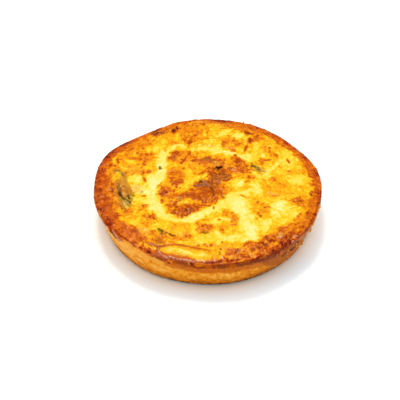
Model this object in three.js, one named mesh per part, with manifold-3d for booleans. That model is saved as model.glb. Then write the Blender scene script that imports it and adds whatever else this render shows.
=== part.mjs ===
// A small round quiche: a shortcrust pastry case, filled to the brim with baked custard.
// The custard's browned skin has risen over most of the pastry rim and run down the outside at the front,
// and a roasted piece of leek lies half sunk in it. Millimetres, +Z up. The origin is the middle of the
// underside, and -Y is the front.
import * as THREE from "three";
import { mergeVertices } from "three/addons/utils/BufferGeometryUtils.js";
import Module from "manifold-3d";

// Driving dimensions.
const RIM_RADIUS = 61.3; // to the outside of the custard skin, at the rim
const RIM_HEIGHT = 20; // underside to the rim's edge
const BASE_RADIUS = 55.4; // of the flat underside's outline
const CROWN = 1.3; // how far the custard stands above the rim's edge
const WALL = 3.6; // pastry thickness, of wall and floor alike
const SKIN = 0.8; // custard skin over the outside of the pastry
const GAP = 0.3; // clearance between touching pieces
const CORNER = 1.4; // rounding where the wall meets the underside
const SEGMENTS = 96; // steps round the quiche
const TOP_RINGS = 23; // steps from the rim's edge to the middle of the top

// Everything is laid out about the round form's centre. The uneven outline's middle lies off it, so the
// finished pieces are shifted to bring that middle over the origin.
const SHIFT = { x: -0.1, y: -0.3 };

const TURN = 2 * Math.PI;
const DEGREE = Math.PI / 180;

// ---- Plain helpers ----

const mix = (a, b, t) => a + (b - a) * t;

function smoothstep(low, high, value) {
  const t = THREE.MathUtils.clamp((value - low) / (high - low), 0, 1);
  return t * t * (3 - 2 * t);
}

// Signed difference of two angles, in degrees, from -180 to 180.
const turnBetween = (a, b) => ((((a - b + 180) % 360) + 360) % 360) - 180;

// A smooth bump of height 1 at a bearing, in degrees, that fades out over a spread.
function bearingBump(degrees, centre, spread) {
  const t = turnBetween(degrees, centre) / spread;
  return Math.exp(-t * t);
}

// ---- Noise: a smooth random surface from a hashed square lattice ----

function latticeValue(i, j, seed) {
  const wave = Math.sin(i * 127.1 + j * 311.7 + seed * 74.7) * 43758.5453;
  return wave - Math.floor(wave);
}

// One octave, from -1 to 1, with features about one unit across.
function noise(x, y, seed) {
  const i = Math.floor(x);
  const j = Math.floor(y);
  const u = smoothstep(0, 1, x - i);
  const v = smoothstep(0, 1, y - j);
  const low = mix(latticeValue(i, j, seed), latticeValue(i + 1, j, seed), u);
  const high = mix(latticeValue(i, j + 1, seed), latticeValue(i + 1, j + 1, seed), u);
  return 2 * mix(low, high, v) - 1;
}

// ---- Outline: nearly round, with slow waves ----

// Waves round the outline: how many, how deep in millimetres, and the bearing of a crest in degrees.
const OUTLINE_WAVES = [
  { count: 3, depth: 0.35, crest: 63 },
  { count: 4, depth: 0.42, crest: -13 },
  { count: 5, depth: 0.51, crest: 12 },
  { count: 6, depth: 0.27, crest: 36 },
  { count: 7, depth: 0.2, crest: 5 },
  { count: 8, depth: 0.41, crest: 14 },
];

// The outline's departure from round, in millimetres at the rim.
function outlineOffset(theta) {
  let offset = 0;
  for (const { count, depth, crest } of OUTLINE_WAVES)
    offset += depth * Math.cos(count * (theta - crest * DEGREE));
  return offset;
}

// ---- Pastry case ----

// Outer radius of the pastry at a height. The wall leans out and is slightly uneven.
function pastryOuter(theta, z) {
  const share = z / RIM_HEIGHT;
  const cone = mix(BASE_RADIUS, RIM_RADIUS - SKIN - GAP, share);
  const barrel = 0.35 * Math.sin(Math.PI * share);
  const uneven = 0.22 * noise(theta * 9 + 40, z / 6, 3) * smoothstep(1, 5, z);
  return cone + barrel + uneven + outlineOffset(theta) * mix(0.4, 1, share);
}

const pastryInner = (theta, z) => pastryOuter(theta, z) - WALL;

// The stretch where no custard has run over and the pastry shows right up to the custard's edge,
// from 0 away from it to 1 in its middle.
const BARE = { bearing: -136, spread: 20 };
const bareness = (theta) => bearingBump(theta / DEGREE, BARE.bearing, BARE.spread);

// Height of the pastry's own rim, under the custard skin.
function pastryRim(theta) {
  const uneven = 0.3 * Math.sin(5 * theta + 1) + 0.2 * Math.sin(9 * theta);
  return RIM_HEIGHT - 2.1 + mix(uneven, 1, bareness(theta));
}

// The case's section at one bearing, from the middle of the underside round to the middle of its floor.
// grow makes it larger all over, to cut its neighbour clear.
function pastrySection(theta, grow) {
  const rim = pastryRim(theta);
  const floor = WALL + grow;
  const outer = (z) => pastryOuter(theta, z) + grow;
  const inner = (z) => pastryInner(theta, z) - grow;
  const bottom = -grow;
  const edge = 0.9; // rounding of the rim
  return [
    [0, bottom],
    [outer(0) * 0.6, bottom],
    [outer(0) - CORNER, bottom],
    [outer(0) - 0.3 * CORNER, bottom + 0.25 * CORNER],
    [outer(CORNER), CORNER],
    [outer(rim * 0.35), rim * 0.35],
    [outer(rim * 0.6), rim * 0.6],
    [outer(rim * 0.8), rim * 0.8],
    [outer(rim - edge), rim - edge],
    [outer(rim) - 0.3 * edge, rim + grow - 0.3 * edge],
    [outer(rim) - edge, rim + grow],
    [inner(rim) + edge, rim + grow],
    [inner(rim) + 0.3 * edge, rim + grow - 0.3 * edge],
    [inner(rim - edge), rim - edge],
    [inner(rim * 0.5), rim * 0.5],
    [inner(floor + CORNER), floor + CORNER],
    [inner(floor) - CORNER, floor],
    [0, floor],
  ];
}

// ---- Custard ----

// Browned mounds (rise above 0) and pale hollows (rise below 0) on the top:
// middle, half length, half width, the length's bearing in degrees, and the rise, all in millimetres.
const MOUNDS = [
  { x: -9, y: 23, long: 13, wide: 6, bearing: 165, rise: 0.7 },
  { x: 14, y: 18, long: 9, wide: 7, bearing: 120, rise: 0.9 },
  { x: 6, y: 3.5, long: 9, wide: 8, bearing: 60, rise: 0.7 },
  { x: -4, y: -9.5, long: 18, wide: 6, bearing: 15, rise: 0.9 },
  { x: -17, y: 2.5, long: 6, wide: 4.5, bearing: 140, rise: 0.8 },
  { x: -23, y: -5.5, long: 4.5, wide: 4, bearing: 0, rise: 0.8 },
  { x: -11, y: -21, long: 6.5, wide: 4.5, bearing: 30, rise: 0.9 },
  { x: 36, y: -4.5, long: 6.5, wide: 5, bearing: 90, rise: 0.6 },
  { x: 11, y: -26, long: 4.5, wide: 4, bearing: 0, rise: 0.5 },
  { x: -14, y: -36, long: 7, wide: 5, bearing: 170, rise: 0.6 },
  { x: 0, y: -34, long: 8, wide: 5, bearing: 0, rise: 0.4 },
  { x: 0, y: -46.5, long: 7, wide: 3, bearing: 0, rise: 0.4 },
  { x: 47, y: -12.5, long: 4, wide: 3, bearing: 0, rise: 0.4 },
  { x: 24, y: 40, long: 5, wide: 4, bearing: 60, rise: 0.6 },
  { x: -33, y: 18, long: 8, wide: 7, bearing: 90, rise: 0.5 },
  { x: -31, y: -31, long: 6, wide: 7, bearing: 90, rise: 0.4 },
  { x: -43, y: -37, long: 9, wide: 6, bearing: 130, rise: 0.7 },
  { x: -26, y: 12.5, long: 3, wide: 13, bearing: 0, rise: -0.6 },
  { x: -26, y: -13.5, long: 4, wide: 11, bearing: 15, rise: -0.6 },
  { x: -15, y: -29, long: 10, wide: 3, bearing: 170, rise: -0.6 },
  { x: 3, y: 31, long: 14, wide: 3, bearing: 172, rise: -0.6 },
  { x: 19, y: -16, long: 14, wide: 9, bearing: 150, rise: -0.5 },
  { x: 22, y: -37, long: 14, wide: 7, bearing: 25, rise: -0.4 },
];

// A long pale tear in the skin behind the front rim, with the skin's edge standing up along its inner side.
const TEAR = { x: -11.5, y: -52.6, long: 15, wide: 3.6, bearing: -14, depth: 1, lip: 0.55 };
// The craggy, dark-baked stretch of the edge.
const CRAGS = { bearing: -50, spread: 36, width: 12, depth: 0.6 };

// Radius of the custard skin's outer edge.
const skinRadius = (theta) => RIM_RADIUS + outlineOffset(theta);

// Where the custard has run down the outside: how far its lower edge drops below the pastry's rim.
const RUNS = [
  { bearing: -105, spread: 9, drop: 1.4 },
  { bearing: -93, spread: 9, drop: 2.8 },
  { bearing: -75, spread: 12, drop: 2.8 },
  { bearing: -56, spread: 12, drop: 4.2 },
  { bearing: -38, spread: 12, drop: 4.8 },
  { bearing: -22, spread: 7, drop: 3 },
  { bearing: 12, spread: 7, drop: 2.2 },
  { bearing: 68, spread: 6, drop: 3.2 },
  { bearing: 118, spread: 9, drop: 2 },
  { bearing: 171, spread: 5, drop: 2.2 },
];

// Height of the lower edge of the custard skin on the outside.
function runEdge(theta) {
  const degrees = theta / DEGREE;
  const least = mix(1.4, 0.1, bareness(theta));
  let drop = least;
  for (const run of RUNS) {
    const reach = run.drop * bearingBump(degrees, run.bearing, run.spread);
    drop = Math.max(drop, least + reach);
  }
  const ragged = 0.5 * noise(theta * 14 + 90, 0.5, 8) * (1 - bareness(theta));
  return pastryRim(theta) - drop + ragged;
}

// A point's place in an oval's own directions, each 1 at the oval's outline.
function inOval(x, y, oval) {
  const cos = Math.cos(oval.bearing * DEGREE);
  const sin = Math.sin(oval.bearing * DEGREE);
  const along = ((x - oval.x) * cos + (y - oval.y) * sin) / oval.long;
  const across = ((y - oval.y) * cos - (x - oval.x) * sin) / oval.wide;
  return { across, distance: Math.hypot(along, across) };
}

function moundRise(x, y) {
  let rise = 0;
  for (const mound of MOUNDS) rise += mound.rise * (1 - smoothstep(0.55, 1.25, inOval(x, y, mound).distance));
  return rise;
}

function tearRise(x, y) {
  const { across, distance } = inOval(x, y, TEAR);
  const trough = -TEAR.depth * (1 - smoothstep(0.5, 1.1, distance));
  const lip = TEAR.lip * Math.exp(-(((distance - 1.15) / 0.18) ** 2)) * smoothstep(0, 0.6, across);
  return trough + lip;
}

// Height of the custard's top. The edge is rounded, then a shoulder climbs to the uneven crown.
function custardTop(x, y) {
  const theta = Math.atan2(y, x);
  const radius = Math.hypot(x, y);
  const inward = Math.max(skinRadius(theta) - radius, 0);
  const edge = Math.sqrt(1 - (1 - Math.min(inward / 1.8, 1)) ** 2);
  const shoulder = smoothstep(1, 11, inward);
  const craggy = bearingBump(theta / DEGREE, CRAGS.bearing, CRAGS.spread)
    * (1 - smoothstep(CRAGS.width * 0.7, CRAGS.width * 1.2, inward));
  const uneven = 0.3 * noise(x / 7, y / 7, 1) + 0.16 * noise(x / 3.2, y / 3.2, 2);
  const crags = CRAGS.depth * craggy * noise(x / 4.4, y / 4.4, 4);
  const relief = (moundRise(x, y) + uneven + crags) * smoothstep(0.5, 5, inward) + tearRise(x, y);
  return RIM_HEIGHT - 0.8 + 0.8 * edge + CROWN * shoulder + relief;
}

// The custard's section at one bearing, from the middle of its underside to the middle of its top.
// Its lower part runs inside the pastry wall, which is then cut away from it.
function custardSection(theta) {
  const run = runEdge(theta);
  const edge = RIM_HEIGHT - 0.8;
  const middle = (z) => pastryOuter(theta, z) - WALL / 2;
  const outside = (z) => pastryOuter(theta, z) + GAP + SKIN;
  const points = [
    [0, WALL / 2],
    [middle(WALL / 2) * 0.5, WALL / 2],
    [middle(WALL / 2), WALL / 2],
    [middle(run - 0.3), run - 0.3],
    [outside(run) - 0.25, run - 0.3],
    [outside(run), run + 0.1],
    [outside(mix(run, edge, 0.6)), mix(run, edge, 0.6)],
  ];
  for (let ring = 0; ring < TOP_RINGS; ring++) {
    const share = 1 - ring / TOP_RINGS;
    const radius = skinRadius(theta) * Math.sin((share * Math.PI) / 2) ** 0.8;
    points.push([radius, custardTop(radius * Math.cos(theta), radius * Math.sin(theta))]);
  }
  points.push([0, custardTop(0, 0)]);
  return points;
}

// ---- Leek: a flattened, ribbed piece with one frayed end ----

const LEEK = { x: -43.8, y: -8, length: 21, width: 9.5, bearing: -78, above: 1.3, below: 1.9, ribs: 4 };

// A ribbed cushion along X, with its bulge above and a shallower one below, made larger all over by grow.
function leekShape(grow) {
  const geometry = new THREE.SphereGeometry(1, 28, 14).rotateZ(Math.PI / 2);
  const place = geometry.getAttribute("position");
  const point = new THREE.Vector3();
  for (let i = 0; i < place.count; i++) {
    point.fromBufferAttribute(place, i);
    const full = Math.sqrt(Math.max(1 - point.x ** 2 * 0.85, 0));
    const side = point.y * (LEEK.width / 2) * mix(0.82, 1, 1 - Math.abs(point.x));
    const rib = 0.3 * Math.cos((side / LEEK.width) * TURN * LEEK.ribs + point.x) * full;
    const bend = 1.2 * point.x ** 2;
    const height = point.z > 0 ? LEEK.above + rib * point.z : LEEK.below;
    place.setXYZ(
      i,
      point.x * (LEEK.length / 2 + grow),
      side * (1 + (2 * grow) / LEEK.width) + bend,
      point.z * (height + grow),
    );
  }
  return geometry
    .rotateZ(LEEK.bearing * DEGREE)
    .translate(LEEK.x, LEEK.y, RIM_HEIGHT + CROWN - 0.3);
}

// ---- Small toppings, fused to the custard ----

// Flakes of herb and vegetable: middle, length, width, the length's bearing, the thickness, and how far
// they are drawn to points at their ends, from 0 for a round chip to 1 for a leaf.
const FLAKES = [
  { name: "herb at the left", x: -26.1, y: 13.6, length: 4.2, width: 2.4, bearing: 80, thick: 0.9, leaf: 0.8 },
  { name: "herb at the right", x: 26.5, y: 13.6, length: 8.4, width: 2.8, bearing: -52, thick: 1, leaf: 1 },
  { name: "leaf at the front", x: -23.8, y: -37.8, length: 5.6, width: 3.4, bearing: -55, thick: 1, leaf: 0.9 },
  { name: "leaf's stalk", x: -18.6, y: -40.2, length: 4.8, width: 1.2, bearing: -35, thick: 0.8, leaf: 0.3 },
  { name: "pale herb", x: -2.4, y: -38.8, length: 4.4, width: 1.8, bearing: -10, thick: 0.8, leaf: 0.8 },
  { name: "herb in the middle", x: -3.8, y: 1.9, length: 3.2, width: 2, bearing: 20, thick: 0.9, leaf: 0.6 },
  { name: "charred mushroom", x: 6, y: 14.4, length: 5, width: 2.4, bearing: 14, thick: 1.2, leaf: 0.5 },
  { name: "mushroom's pale wedge", x: 3, y: 19.2, length: 6, width: 3.2, bearing: -40, thick: 1, leaf: 0.7 },
  { name: "onion slice", x: -38, y: -3.1, length: 7, width: 6, bearing: -60, thick: 1, leaf: 0 },
];

// A low cushion that follows the custard under it, with its long edges turned up a little where it is a leaf.
function flakeShape(flake) {
  const geometry = new THREE.IcosahedronGeometry(1, 1);
  const place = geometry.getAttribute("position");
  const point = new THREE.Vector3();
  for (let i = 0; i < place.count; i++) {
    point.fromBufferAttribute(place, i);
    const across = point.y * (1 - 0.6 * flake.leaf * Math.abs(point.x));
    place.setXYZ(
      i,
      point.x * (flake.length / 2),
      across * (flake.width / 2),
      point.z * (flake.thick / 2) + 0.3 * flake.leaf * across ** 2,
    );
  }
  geometry.rotateZ(flake.bearing * DEGREE);
  for (let i = 0; i < place.count; i++) {
    point.fromBufferAttribute(place, i);
    const under = custardTop(flake.x + point.x, flake.y + point.y);
    place.setXYZ(i, flake.x + point.x, flake.y + point.y, under + 0.15 + point.z);
  }
  return geometry;
}

// ---- Geometry from sections, and joins and cuts ----

// A turned form whose section changes with the bearing: section(theta) gives [radius, height] points.
function turned(section) {
  const profile = section(0).map(([radius, height]) => new THREE.Vector2(radius, height));
  const geometry = new THREE.LatheGeometry(profile, SEGMENTS);
  const place = geometry.getAttribute("position");
  for (let step = 0; step <= SEGMENTS; step++) {
    const theta = ((step % SEGMENTS) / SEGMENTS) * TURN - Math.PI;
    section(theta).forEach(([radius, height], i) => {
      place.setXYZ(step * profile.length + i, radius * Math.cos(theta), radius * Math.sin(theta), height);
    });
  }
  return geometry;
}

const wasm = await Module();
wasm.setup();

function solid(geometry) {
  const bare = geometry.clone();
  bare.deleteAttribute("normal");
  bare.deleteAttribute("uv");
  const merged = mergeVertices(bare, 1e-4);
  return new wasm.Manifold(
    new wasm.Mesh({
      numProp: 3,
      vertProperties: new Float32Array(merged.getAttribute("position").array),
      triVerts: new Uint32Array(merged.index.array),
    }),
  );
}

// The largest piece of a solid, as a geometry. Cutting can leave loose scraps, which are dropped.
function geometryOf(made) {
  const largest = made.decompose().reduce((a, b) => (a.volume() > b.volume() ? a : b));
  const mesh = largest.getMesh();
  return new THREE.BufferGeometry()
    .setAttribute("position", new THREE.BufferAttribute(mesh.vertProperties, 3))
    .setIndex(new THREE.BufferAttribute(mesh.triVerts, 1));
}

function pastryCase() {
  return turned((theta) => pastrySection(theta, 0));
}

function custard() {
  let made = solid(turned(custardSection));
  for (const flake of FLAKES) made = made.add(solid(flakeShape(flake)));
  made = made.subtract(solid(turned((theta) => pastrySection(theta, GAP))));
  made = made.subtract(solid(leekShape(GAP)));
  return geometryOf(made);
}

// ---- The quiche ----

const group = new THREE.Group();

function addPiece(name, geometry, colour, roughness) {
  const material = new THREE.MeshStandardMaterial({ color: colour, roughness, metalness: 0 });
  const mesh = new THREE.Mesh(geometry.translate(SHIFT.x, SHIFT.y, 0), material);
  mesh.name = name;
  group.add(mesh);
}

addPiece("pastry_case", pastryCase(), 0xe59a3a, 0.75);
addPiece("custard_filling", custard(), 0xf2b02c, 0.4);
addPiece("leek_piece", leekShape(0), 0x8a7a2e, 0.5);

export default group;
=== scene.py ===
"""A small round quiche on a white floor: dense meshes over its CAD solids, with procedural materials.

Lengths are millimetres about the round form's centre, as in the part's own source, until a mesh is made:
then SHIFT brings the outline's middle over the origin and MM turns them into metres. +Z is up and -Y is
the front. Bearings are degrees about the middle, anticlockwise from +X as seen from above, and theta is a
bearing in radians. A call for noise names the feature's size as a divisor, then the noise's seed.
"""

import math

import bpy
import numpy as np
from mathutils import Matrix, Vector


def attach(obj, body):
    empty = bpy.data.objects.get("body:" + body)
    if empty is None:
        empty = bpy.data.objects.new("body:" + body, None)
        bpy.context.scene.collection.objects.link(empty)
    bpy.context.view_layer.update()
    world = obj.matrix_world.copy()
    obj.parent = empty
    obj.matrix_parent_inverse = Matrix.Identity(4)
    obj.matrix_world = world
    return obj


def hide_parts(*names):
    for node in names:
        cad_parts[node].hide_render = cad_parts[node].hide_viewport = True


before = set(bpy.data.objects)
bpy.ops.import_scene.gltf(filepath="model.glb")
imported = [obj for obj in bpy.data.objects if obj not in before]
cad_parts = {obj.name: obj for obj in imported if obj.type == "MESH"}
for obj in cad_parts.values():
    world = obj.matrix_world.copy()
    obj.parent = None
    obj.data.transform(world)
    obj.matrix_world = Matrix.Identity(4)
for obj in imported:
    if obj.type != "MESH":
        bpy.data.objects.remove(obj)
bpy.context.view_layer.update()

MM = 0.001
SHIFT = (-0.1, -0.3)
DEGREE = math.pi / 180
BODY = "root"

# Sizes shared with the solids.
RIM_RADIUS = 61.3  # to the outside of the custard skin, at the rim
RIM_HEIGHT = 20.0  # underside to the rim's edge
BASE_RADIUS = 55.4  # of the flat underside's outline
CROWN = 1.3  # how far the custard stands above the rim's edge
WALL = 3.6  # pastry thickness, of wall and floor alike
SKIN = 0.8  # custard skin over the outside of the pastry
GAP = 0.3  # clearance between touching pieces
CORNER = 1.4  # rounding where the wall meets the underside
RIM_ROUND = 0.9  # rounding of the pastry's rim
RIM_DROP = 2.1  # from the rim's edge down to the pastry's own rim
EDGE_ROUND = 1.8  # how far in from its edge the custard's top is rounded
EDGE_DROP = 0.8  # and how far down
WALL_BULGE = 0.35  # at half the wall's height
WALL_UNEVEN = 0.22

# How fine the meshes are.
TOP_CELLS = 270  # cells along a side of the square grid that is mapped onto the custard's top
SKIN_ROWS = 14
CASE_COLUMNS = 760
CASE_ROWS = 40
LEEK_CELLS = 72
STRIP_STEPS = 16
STRIP_SIDES = 10


# ---- Plain helpers ----


def mix(a, b, t):
    return a + (b - a) * t


def smoothstep(low, high, value):
    t = np.clip((value - low) / (high - low), 0, 1)
    return t * t * (3 - 2 * t)


def fade(low, high, value):
    """1 up to low, 0 from high on, and smooth between them."""
    return 1 - smoothstep(low, high, value)


def turn_between(a, b):
    """Signed difference of two bearings, from -180 to 180."""
    return (a - b + 180) % 360 - 180


def bearing_bump(theta, centre, spread):
    """A smooth bump of height 1 at a bearing, which fades out over a spread."""
    return np.exp(-((turn_between(theta / DEGREE, centre) / spread) ** 2))


def bump(value, centre, spread):
    return np.exp(-(((value - centre) / spread) ** 2))


# How much brighter than pure white a white surface would show under the stage's lights, on the top and on
# the wall. Base colours are divided by it, so that the colours given are those that show.
TOP_LIGHT = 1.6
WALL_LIGHT = 1.02
MOST_BRIGHT = 0.95  # of any base colour


def linear(colour):
    """An sRGB colour of 0 to 255 as linear RGB."""
    shares = [c / 255 for c in colour]
    return [s / 12.92 if s <= 0.04045 else ((s + 0.055) / 1.055) ** 2.4 for s in shares]


def shown(colour, light=TOP_LIGHT):
    """The base colour, linear RGBA, of what shows as an sRGB colour in a light."""
    return tuple(min(share / light, MOST_BRIGHT) for share in linear(colour)) + (1.0,)


# ---- Noise from a hashed square lattice, the same as the solids' ----


def lattice_value(i, j, seed):
    wave = np.sin(i * 127.1 + j * 311.7 + seed * 74.7) * 43758.5453
    return wave - np.floor(wave)


def noise(x, y, seed):
    """One octave, from -1 to 1, with features about one unit across."""
    x, y = np.broadcast_arrays(np.asarray(x, float), np.asarray(y, float))
    i, j = np.floor(x), np.floor(y)
    u, v = smoothstep(0, 1, x - i), smoothstep(0, 1, y - j)
    low = mix(lattice_value(i, j, seed), lattice_value(i + 1, j, seed), u)
    high = mix(lattice_value(i, j + 1, seed), lattice_value(i + 1, j + 1, seed), u)
    return 2 * mix(low, high, v) - 1


def fractal(x, y, seed, octaves=3):
    """Octaves of noise, each half as wide and 0.6 as strong as the one before, turned so no grid shows."""
    total, strength, reach = 0.0, 1.0, 0.0
    for octave in range(octaves):
        total = total + strength * noise(x, y, seed + 11 * octave)
        reach += strength
        strength *= 0.6
        x, y = 2 * (0.8 * x - 0.6 * y), 2 * (0.6 * x + 0.8 * y)
    return total / reach


def cells(x, y, seed):
    """Points scattered one to each lattice square: the distances to the nearest and the next nearest,
    and the nearest one's own number from 0 to 1."""
    i, j = np.floor(x), np.floor(y)
    nearest = np.full(np.shape(x), 9.0)
    following = np.full(np.shape(x), 9.0)
    label = np.zeros(np.shape(x))
    for step_i in (-1, 0, 1):
        for step_j in (-1, 0, 1):
            a, b = i + step_i, j + step_j
            away_x = a + 0.1 + 0.8 * lattice_value(a, b, seed) - x
            away_y = b + 0.1 + 0.8 * lattice_value(a, b, seed + 1) - y
            away = np.hypot(away_x, away_y)
            closer = away < nearest
            following = np.where(closer, nearest, np.minimum(following, away))
            label = np.where(closer, lattice_value(a, b, seed + 2), label)
            nearest = np.where(closer, away, nearest)
    return nearest, following, label


# ---- Ovals: x, y, half length, half width, and the length's bearing unless it is 0 ----


def in_oval(x, y, oval):
    """A point's place in an oval's own directions, each 1 at its outline."""
    cx, cy, long, wide, bearing = (*oval, 0)[:5]
    cos, sin = math.cos(bearing * DEGREE), math.sin(bearing * DEGREE)
    return ((x - cx) * cos + (y - cy) * sin) / long, ((y - cy) * cos - (x - cx) * sin) / wide


def oval_distance(x, y, oval):
    """Distance from an oval's middle, 1 at its outline."""
    return np.hypot(*in_oval(x, y, oval))


def in_ovals(x, y, low, high, ovals):
    """What ovals add up to, each as strong as its last number and fading from low to high of its size."""
    return sum(oval[5] * fade(low, high, oval_distance(x, y, oval)) for oval in ovals)


# ---- The form, the same as the solids' ----

# Waves round the outline: how many, how deep, and the bearing of a crest.
OUTLINE_WAVES = [(3, 0.35, 63), (4, 0.42, -13), (5, 0.51, 12), (6, 0.27, 36), (7, 0.2, 5), (8, 0.41, 14)]
# The stretch where no custard has run over the pastry, and the crags of the front edge: bearing, spread.
BARE = (-136, 20)
CRAGS = (-50, 36)
CRAG_REACH = (8.4, 14.4)  # how far in from the edge they begin to fade, and end
CRAG_DEPTH = 0.6
# Browned mounds and pale hollows: ovals, and the rise.
MOUNDS = [
    (-9, 23, 13, 6, 165, 0.7), (14, 18, 9, 7, 120, 0.9), (6, 3.5, 9, 8, 60, 0.7), (-4, -9.5, 18, 6, 15, 0.9),
    (-17, 2.5, 6, 4.5, 140, 0.8), (-23, -5.5, 4.5, 4, 0, 0.8), (-11, -21, 6.5, 4.5, 30, 0.9),
    (36, -4.5, 6.5, 5, 90, 0.6), (11, -26, 4.5, 4, 0, 0.5), (-14, -36, 7, 5, 170, 0.6),
    (0, -34, 8, 5, 0, 0.4), (0, -46.5, 7, 3, 0, 0.4), (47, -12.5, 4, 3, 0, 0.4), (24, 40, 5, 4, 60, 0.6),
    (-33, 18, 8, 7, 90, 0.5), (-31, -31, 6, 7, 90, 0.4), (-43, -37, 9, 6, 130, 0.7),
    (-26, 12.5, 3, 13, 0, -0.6), (-26, -13.5, 4, 11, 15, -0.6), (-15, -29, 10, 3, 170, -0.6),
    (3, 31, 14, 3, 172, -0.6), (19, -16, 14, 9, 150, -0.5), (22, -37, 14, 7, 25, -0.4),
]
# The tear in the skin behind the front rim: an oval, how deep it is, and how high its inner lip.
TEAR = (-11.5, -52.6, 15, 3.6, -14)
TEAR_DEPTH = 1.0
TEAR_LIP = 0.55
# Where the custard has run down the outside: bearing, spread, drop.
RUNS = [
    (-105, 9, 1.4), (-93, 9, 2.8), (-75, 12, 2.8), (-56, 12, 4.2), (-38, 12, 4.8), (-22, 7, 3.0),
    (12, 7, 2.2), (68, 6, 3.2), (118, 9, 2.0), (171, 5, 2.2),
]
# How far it covers the outside elsewhere, and at the bare stretch.
LEAST_DROP = 1.4
BARE_DROP = 0.1


def outline_offset(theta):
    return sum(depth * np.cos(count * (theta - crest * DEGREE)) for count, depth, crest in OUTLINE_WAVES)


def pastry_outer(theta, z):
    """Radius of the pastry's outside."""
    share = z / RIM_HEIGHT
    cone = mix(BASE_RADIUS, RIM_RADIUS - SKIN - GAP, share)
    barrel = WALL_BULGE * np.sin(math.pi * share)
    uneven = WALL_UNEVEN * noise(theta * 9 + 40, z / 6, 3) * smoothstep(1, 5, z)
    return cone + barrel + uneven + outline_offset(theta) * mix(0.4, 1, share)


def bareness(theta):
    """1 in the middle of the bare stretch, 0 away from it."""
    return bearing_bump(theta, *BARE)


def pastry_rim(theta):
    """Height of the pastry's own rim, under the custard skin."""
    uneven = 0.3 * np.sin(5 * theta + 1) + 0.2 * np.sin(9 * theta)
    return RIM_HEIGHT - RIM_DROP + mix(uneven, 1, bareness(theta))


def skin_radius(theta):
    """Radius of the custard skin's outer edge."""
    return RIM_RADIUS + outline_offset(theta)


def rim_place(x, y):
    """A point's bearing in radians, its radius, and how far in it is from the skin's edge."""
    theta, radius = np.arctan2(y, x), np.hypot(x, y)
    return theta, radius, skin_radius(theta) - radius


def run_edge(theta):
    """Height of the lower edge of the custard skin on the outside."""
    least = mix(LEAST_DROP, BARE_DROP, bareness(theta))
    drop = least
    for bearing, spread, reach in RUNS:
        drop = np.maximum(drop, least + reach * bearing_bump(theta, bearing, spread))
    ragged = 0.5 * noise(theta * 14 + 90, 0.5, 8) * (1 - bareness(theta))
    return pastry_rim(theta) - drop + ragged


def tear_rise(x, y):
    """The hollow of the tear, with the skin's edge standing up along its inner side."""
    away = oval_distance(x, y, TEAR)
    _, across = in_oval(x, y, TEAR)
    return TEAR_LIP * bump(away, 1.15, 0.18) * smoothstep(0, 0.6, across) - TEAR_DEPTH * fade(0.5, 1.1, away)


def craggy(theta, inward):
    """How craggy the edge is, from 0 to 1, by the bearing and the distance in from the skin's edge."""
    return bearing_bump(theta, *CRAGS) * fade(*CRAG_REACH, inward)


def custard_top(x, y):
    """Height of the custard's top as the solid has it."""
    theta, _, inward = rim_place(x, y)
    inward = np.maximum(inward, 0)
    edge = np.sqrt(1 - (1 - np.minimum(inward / EDGE_ROUND, 1)) ** 2)
    shoulder = smoothstep(1, 11, inward)
    mounds = in_ovals(x, y, 0.55, 1.25, MOUNDS)
    uneven = 0.3 * noise(x / 7, y / 7, 1) + 0.16 * noise(x / 3.2, y / 3.2, 2)
    crags = CRAG_DEPTH * craggy(theta, inward) * noise(x / 4.4, y / 4.4, 4)
    relief = (mounds + uneven + crags) * smoothstep(0.5, 5, inward) + tear_rise(x, y)
    return RIM_HEIGHT - EDGE_DROP + EDGE_DROP * edge + CROWN * shoulder + relief


# ---- Places on the top ----

# Where the camera stands, and the level at which places on the top are given: a place u, v is where the
# camera sees a thing against a level plane at that height.
CAMERA = (-4.167, -392.317, 341.381)
SIGHT_LEVEL = 20.8


def sighted(x, y, z):
    """The place at which the camera sees a point."""
    reach = (CAMERA[2] - SIGHT_LEVEL) / (CAMERA[2] - z)
    return CAMERA[0] + (x - CAMERA[0]) * reach, CAMERA[1] + (y - CAMERA[1]) * reach


def place_of(x, y):
    """The place of a point of the top."""
    return sighted(x, y, custard_top(x, y))


def point_at(u, v):
    """The point of the top that is seen at a place."""
    x, y = np.asarray(u, float), np.asarray(v, float)
    for _ in range(6):
        at_u, at_v = place_of(x, y)
        x, y = x + u - at_u, y + v - at_v
    return x, y


# ---- How the custard has browned ----

# The tone of each kind of patch, from 0, pale cream, by yellow, gold and orange to 1, nearly black.
BASE_TONE = 0.37
RIDGE_TONE = 0.70
PIT_TONE = 0.95
TONES = {
    "cream": 0.06, "pale": 0.13, "yellow": 0.25, "gold": 0.45, "orange": 0.56, "toast": 0.67, "brown": 0.775,
    "dark": 0.90, "char": 1.0,
}

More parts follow.
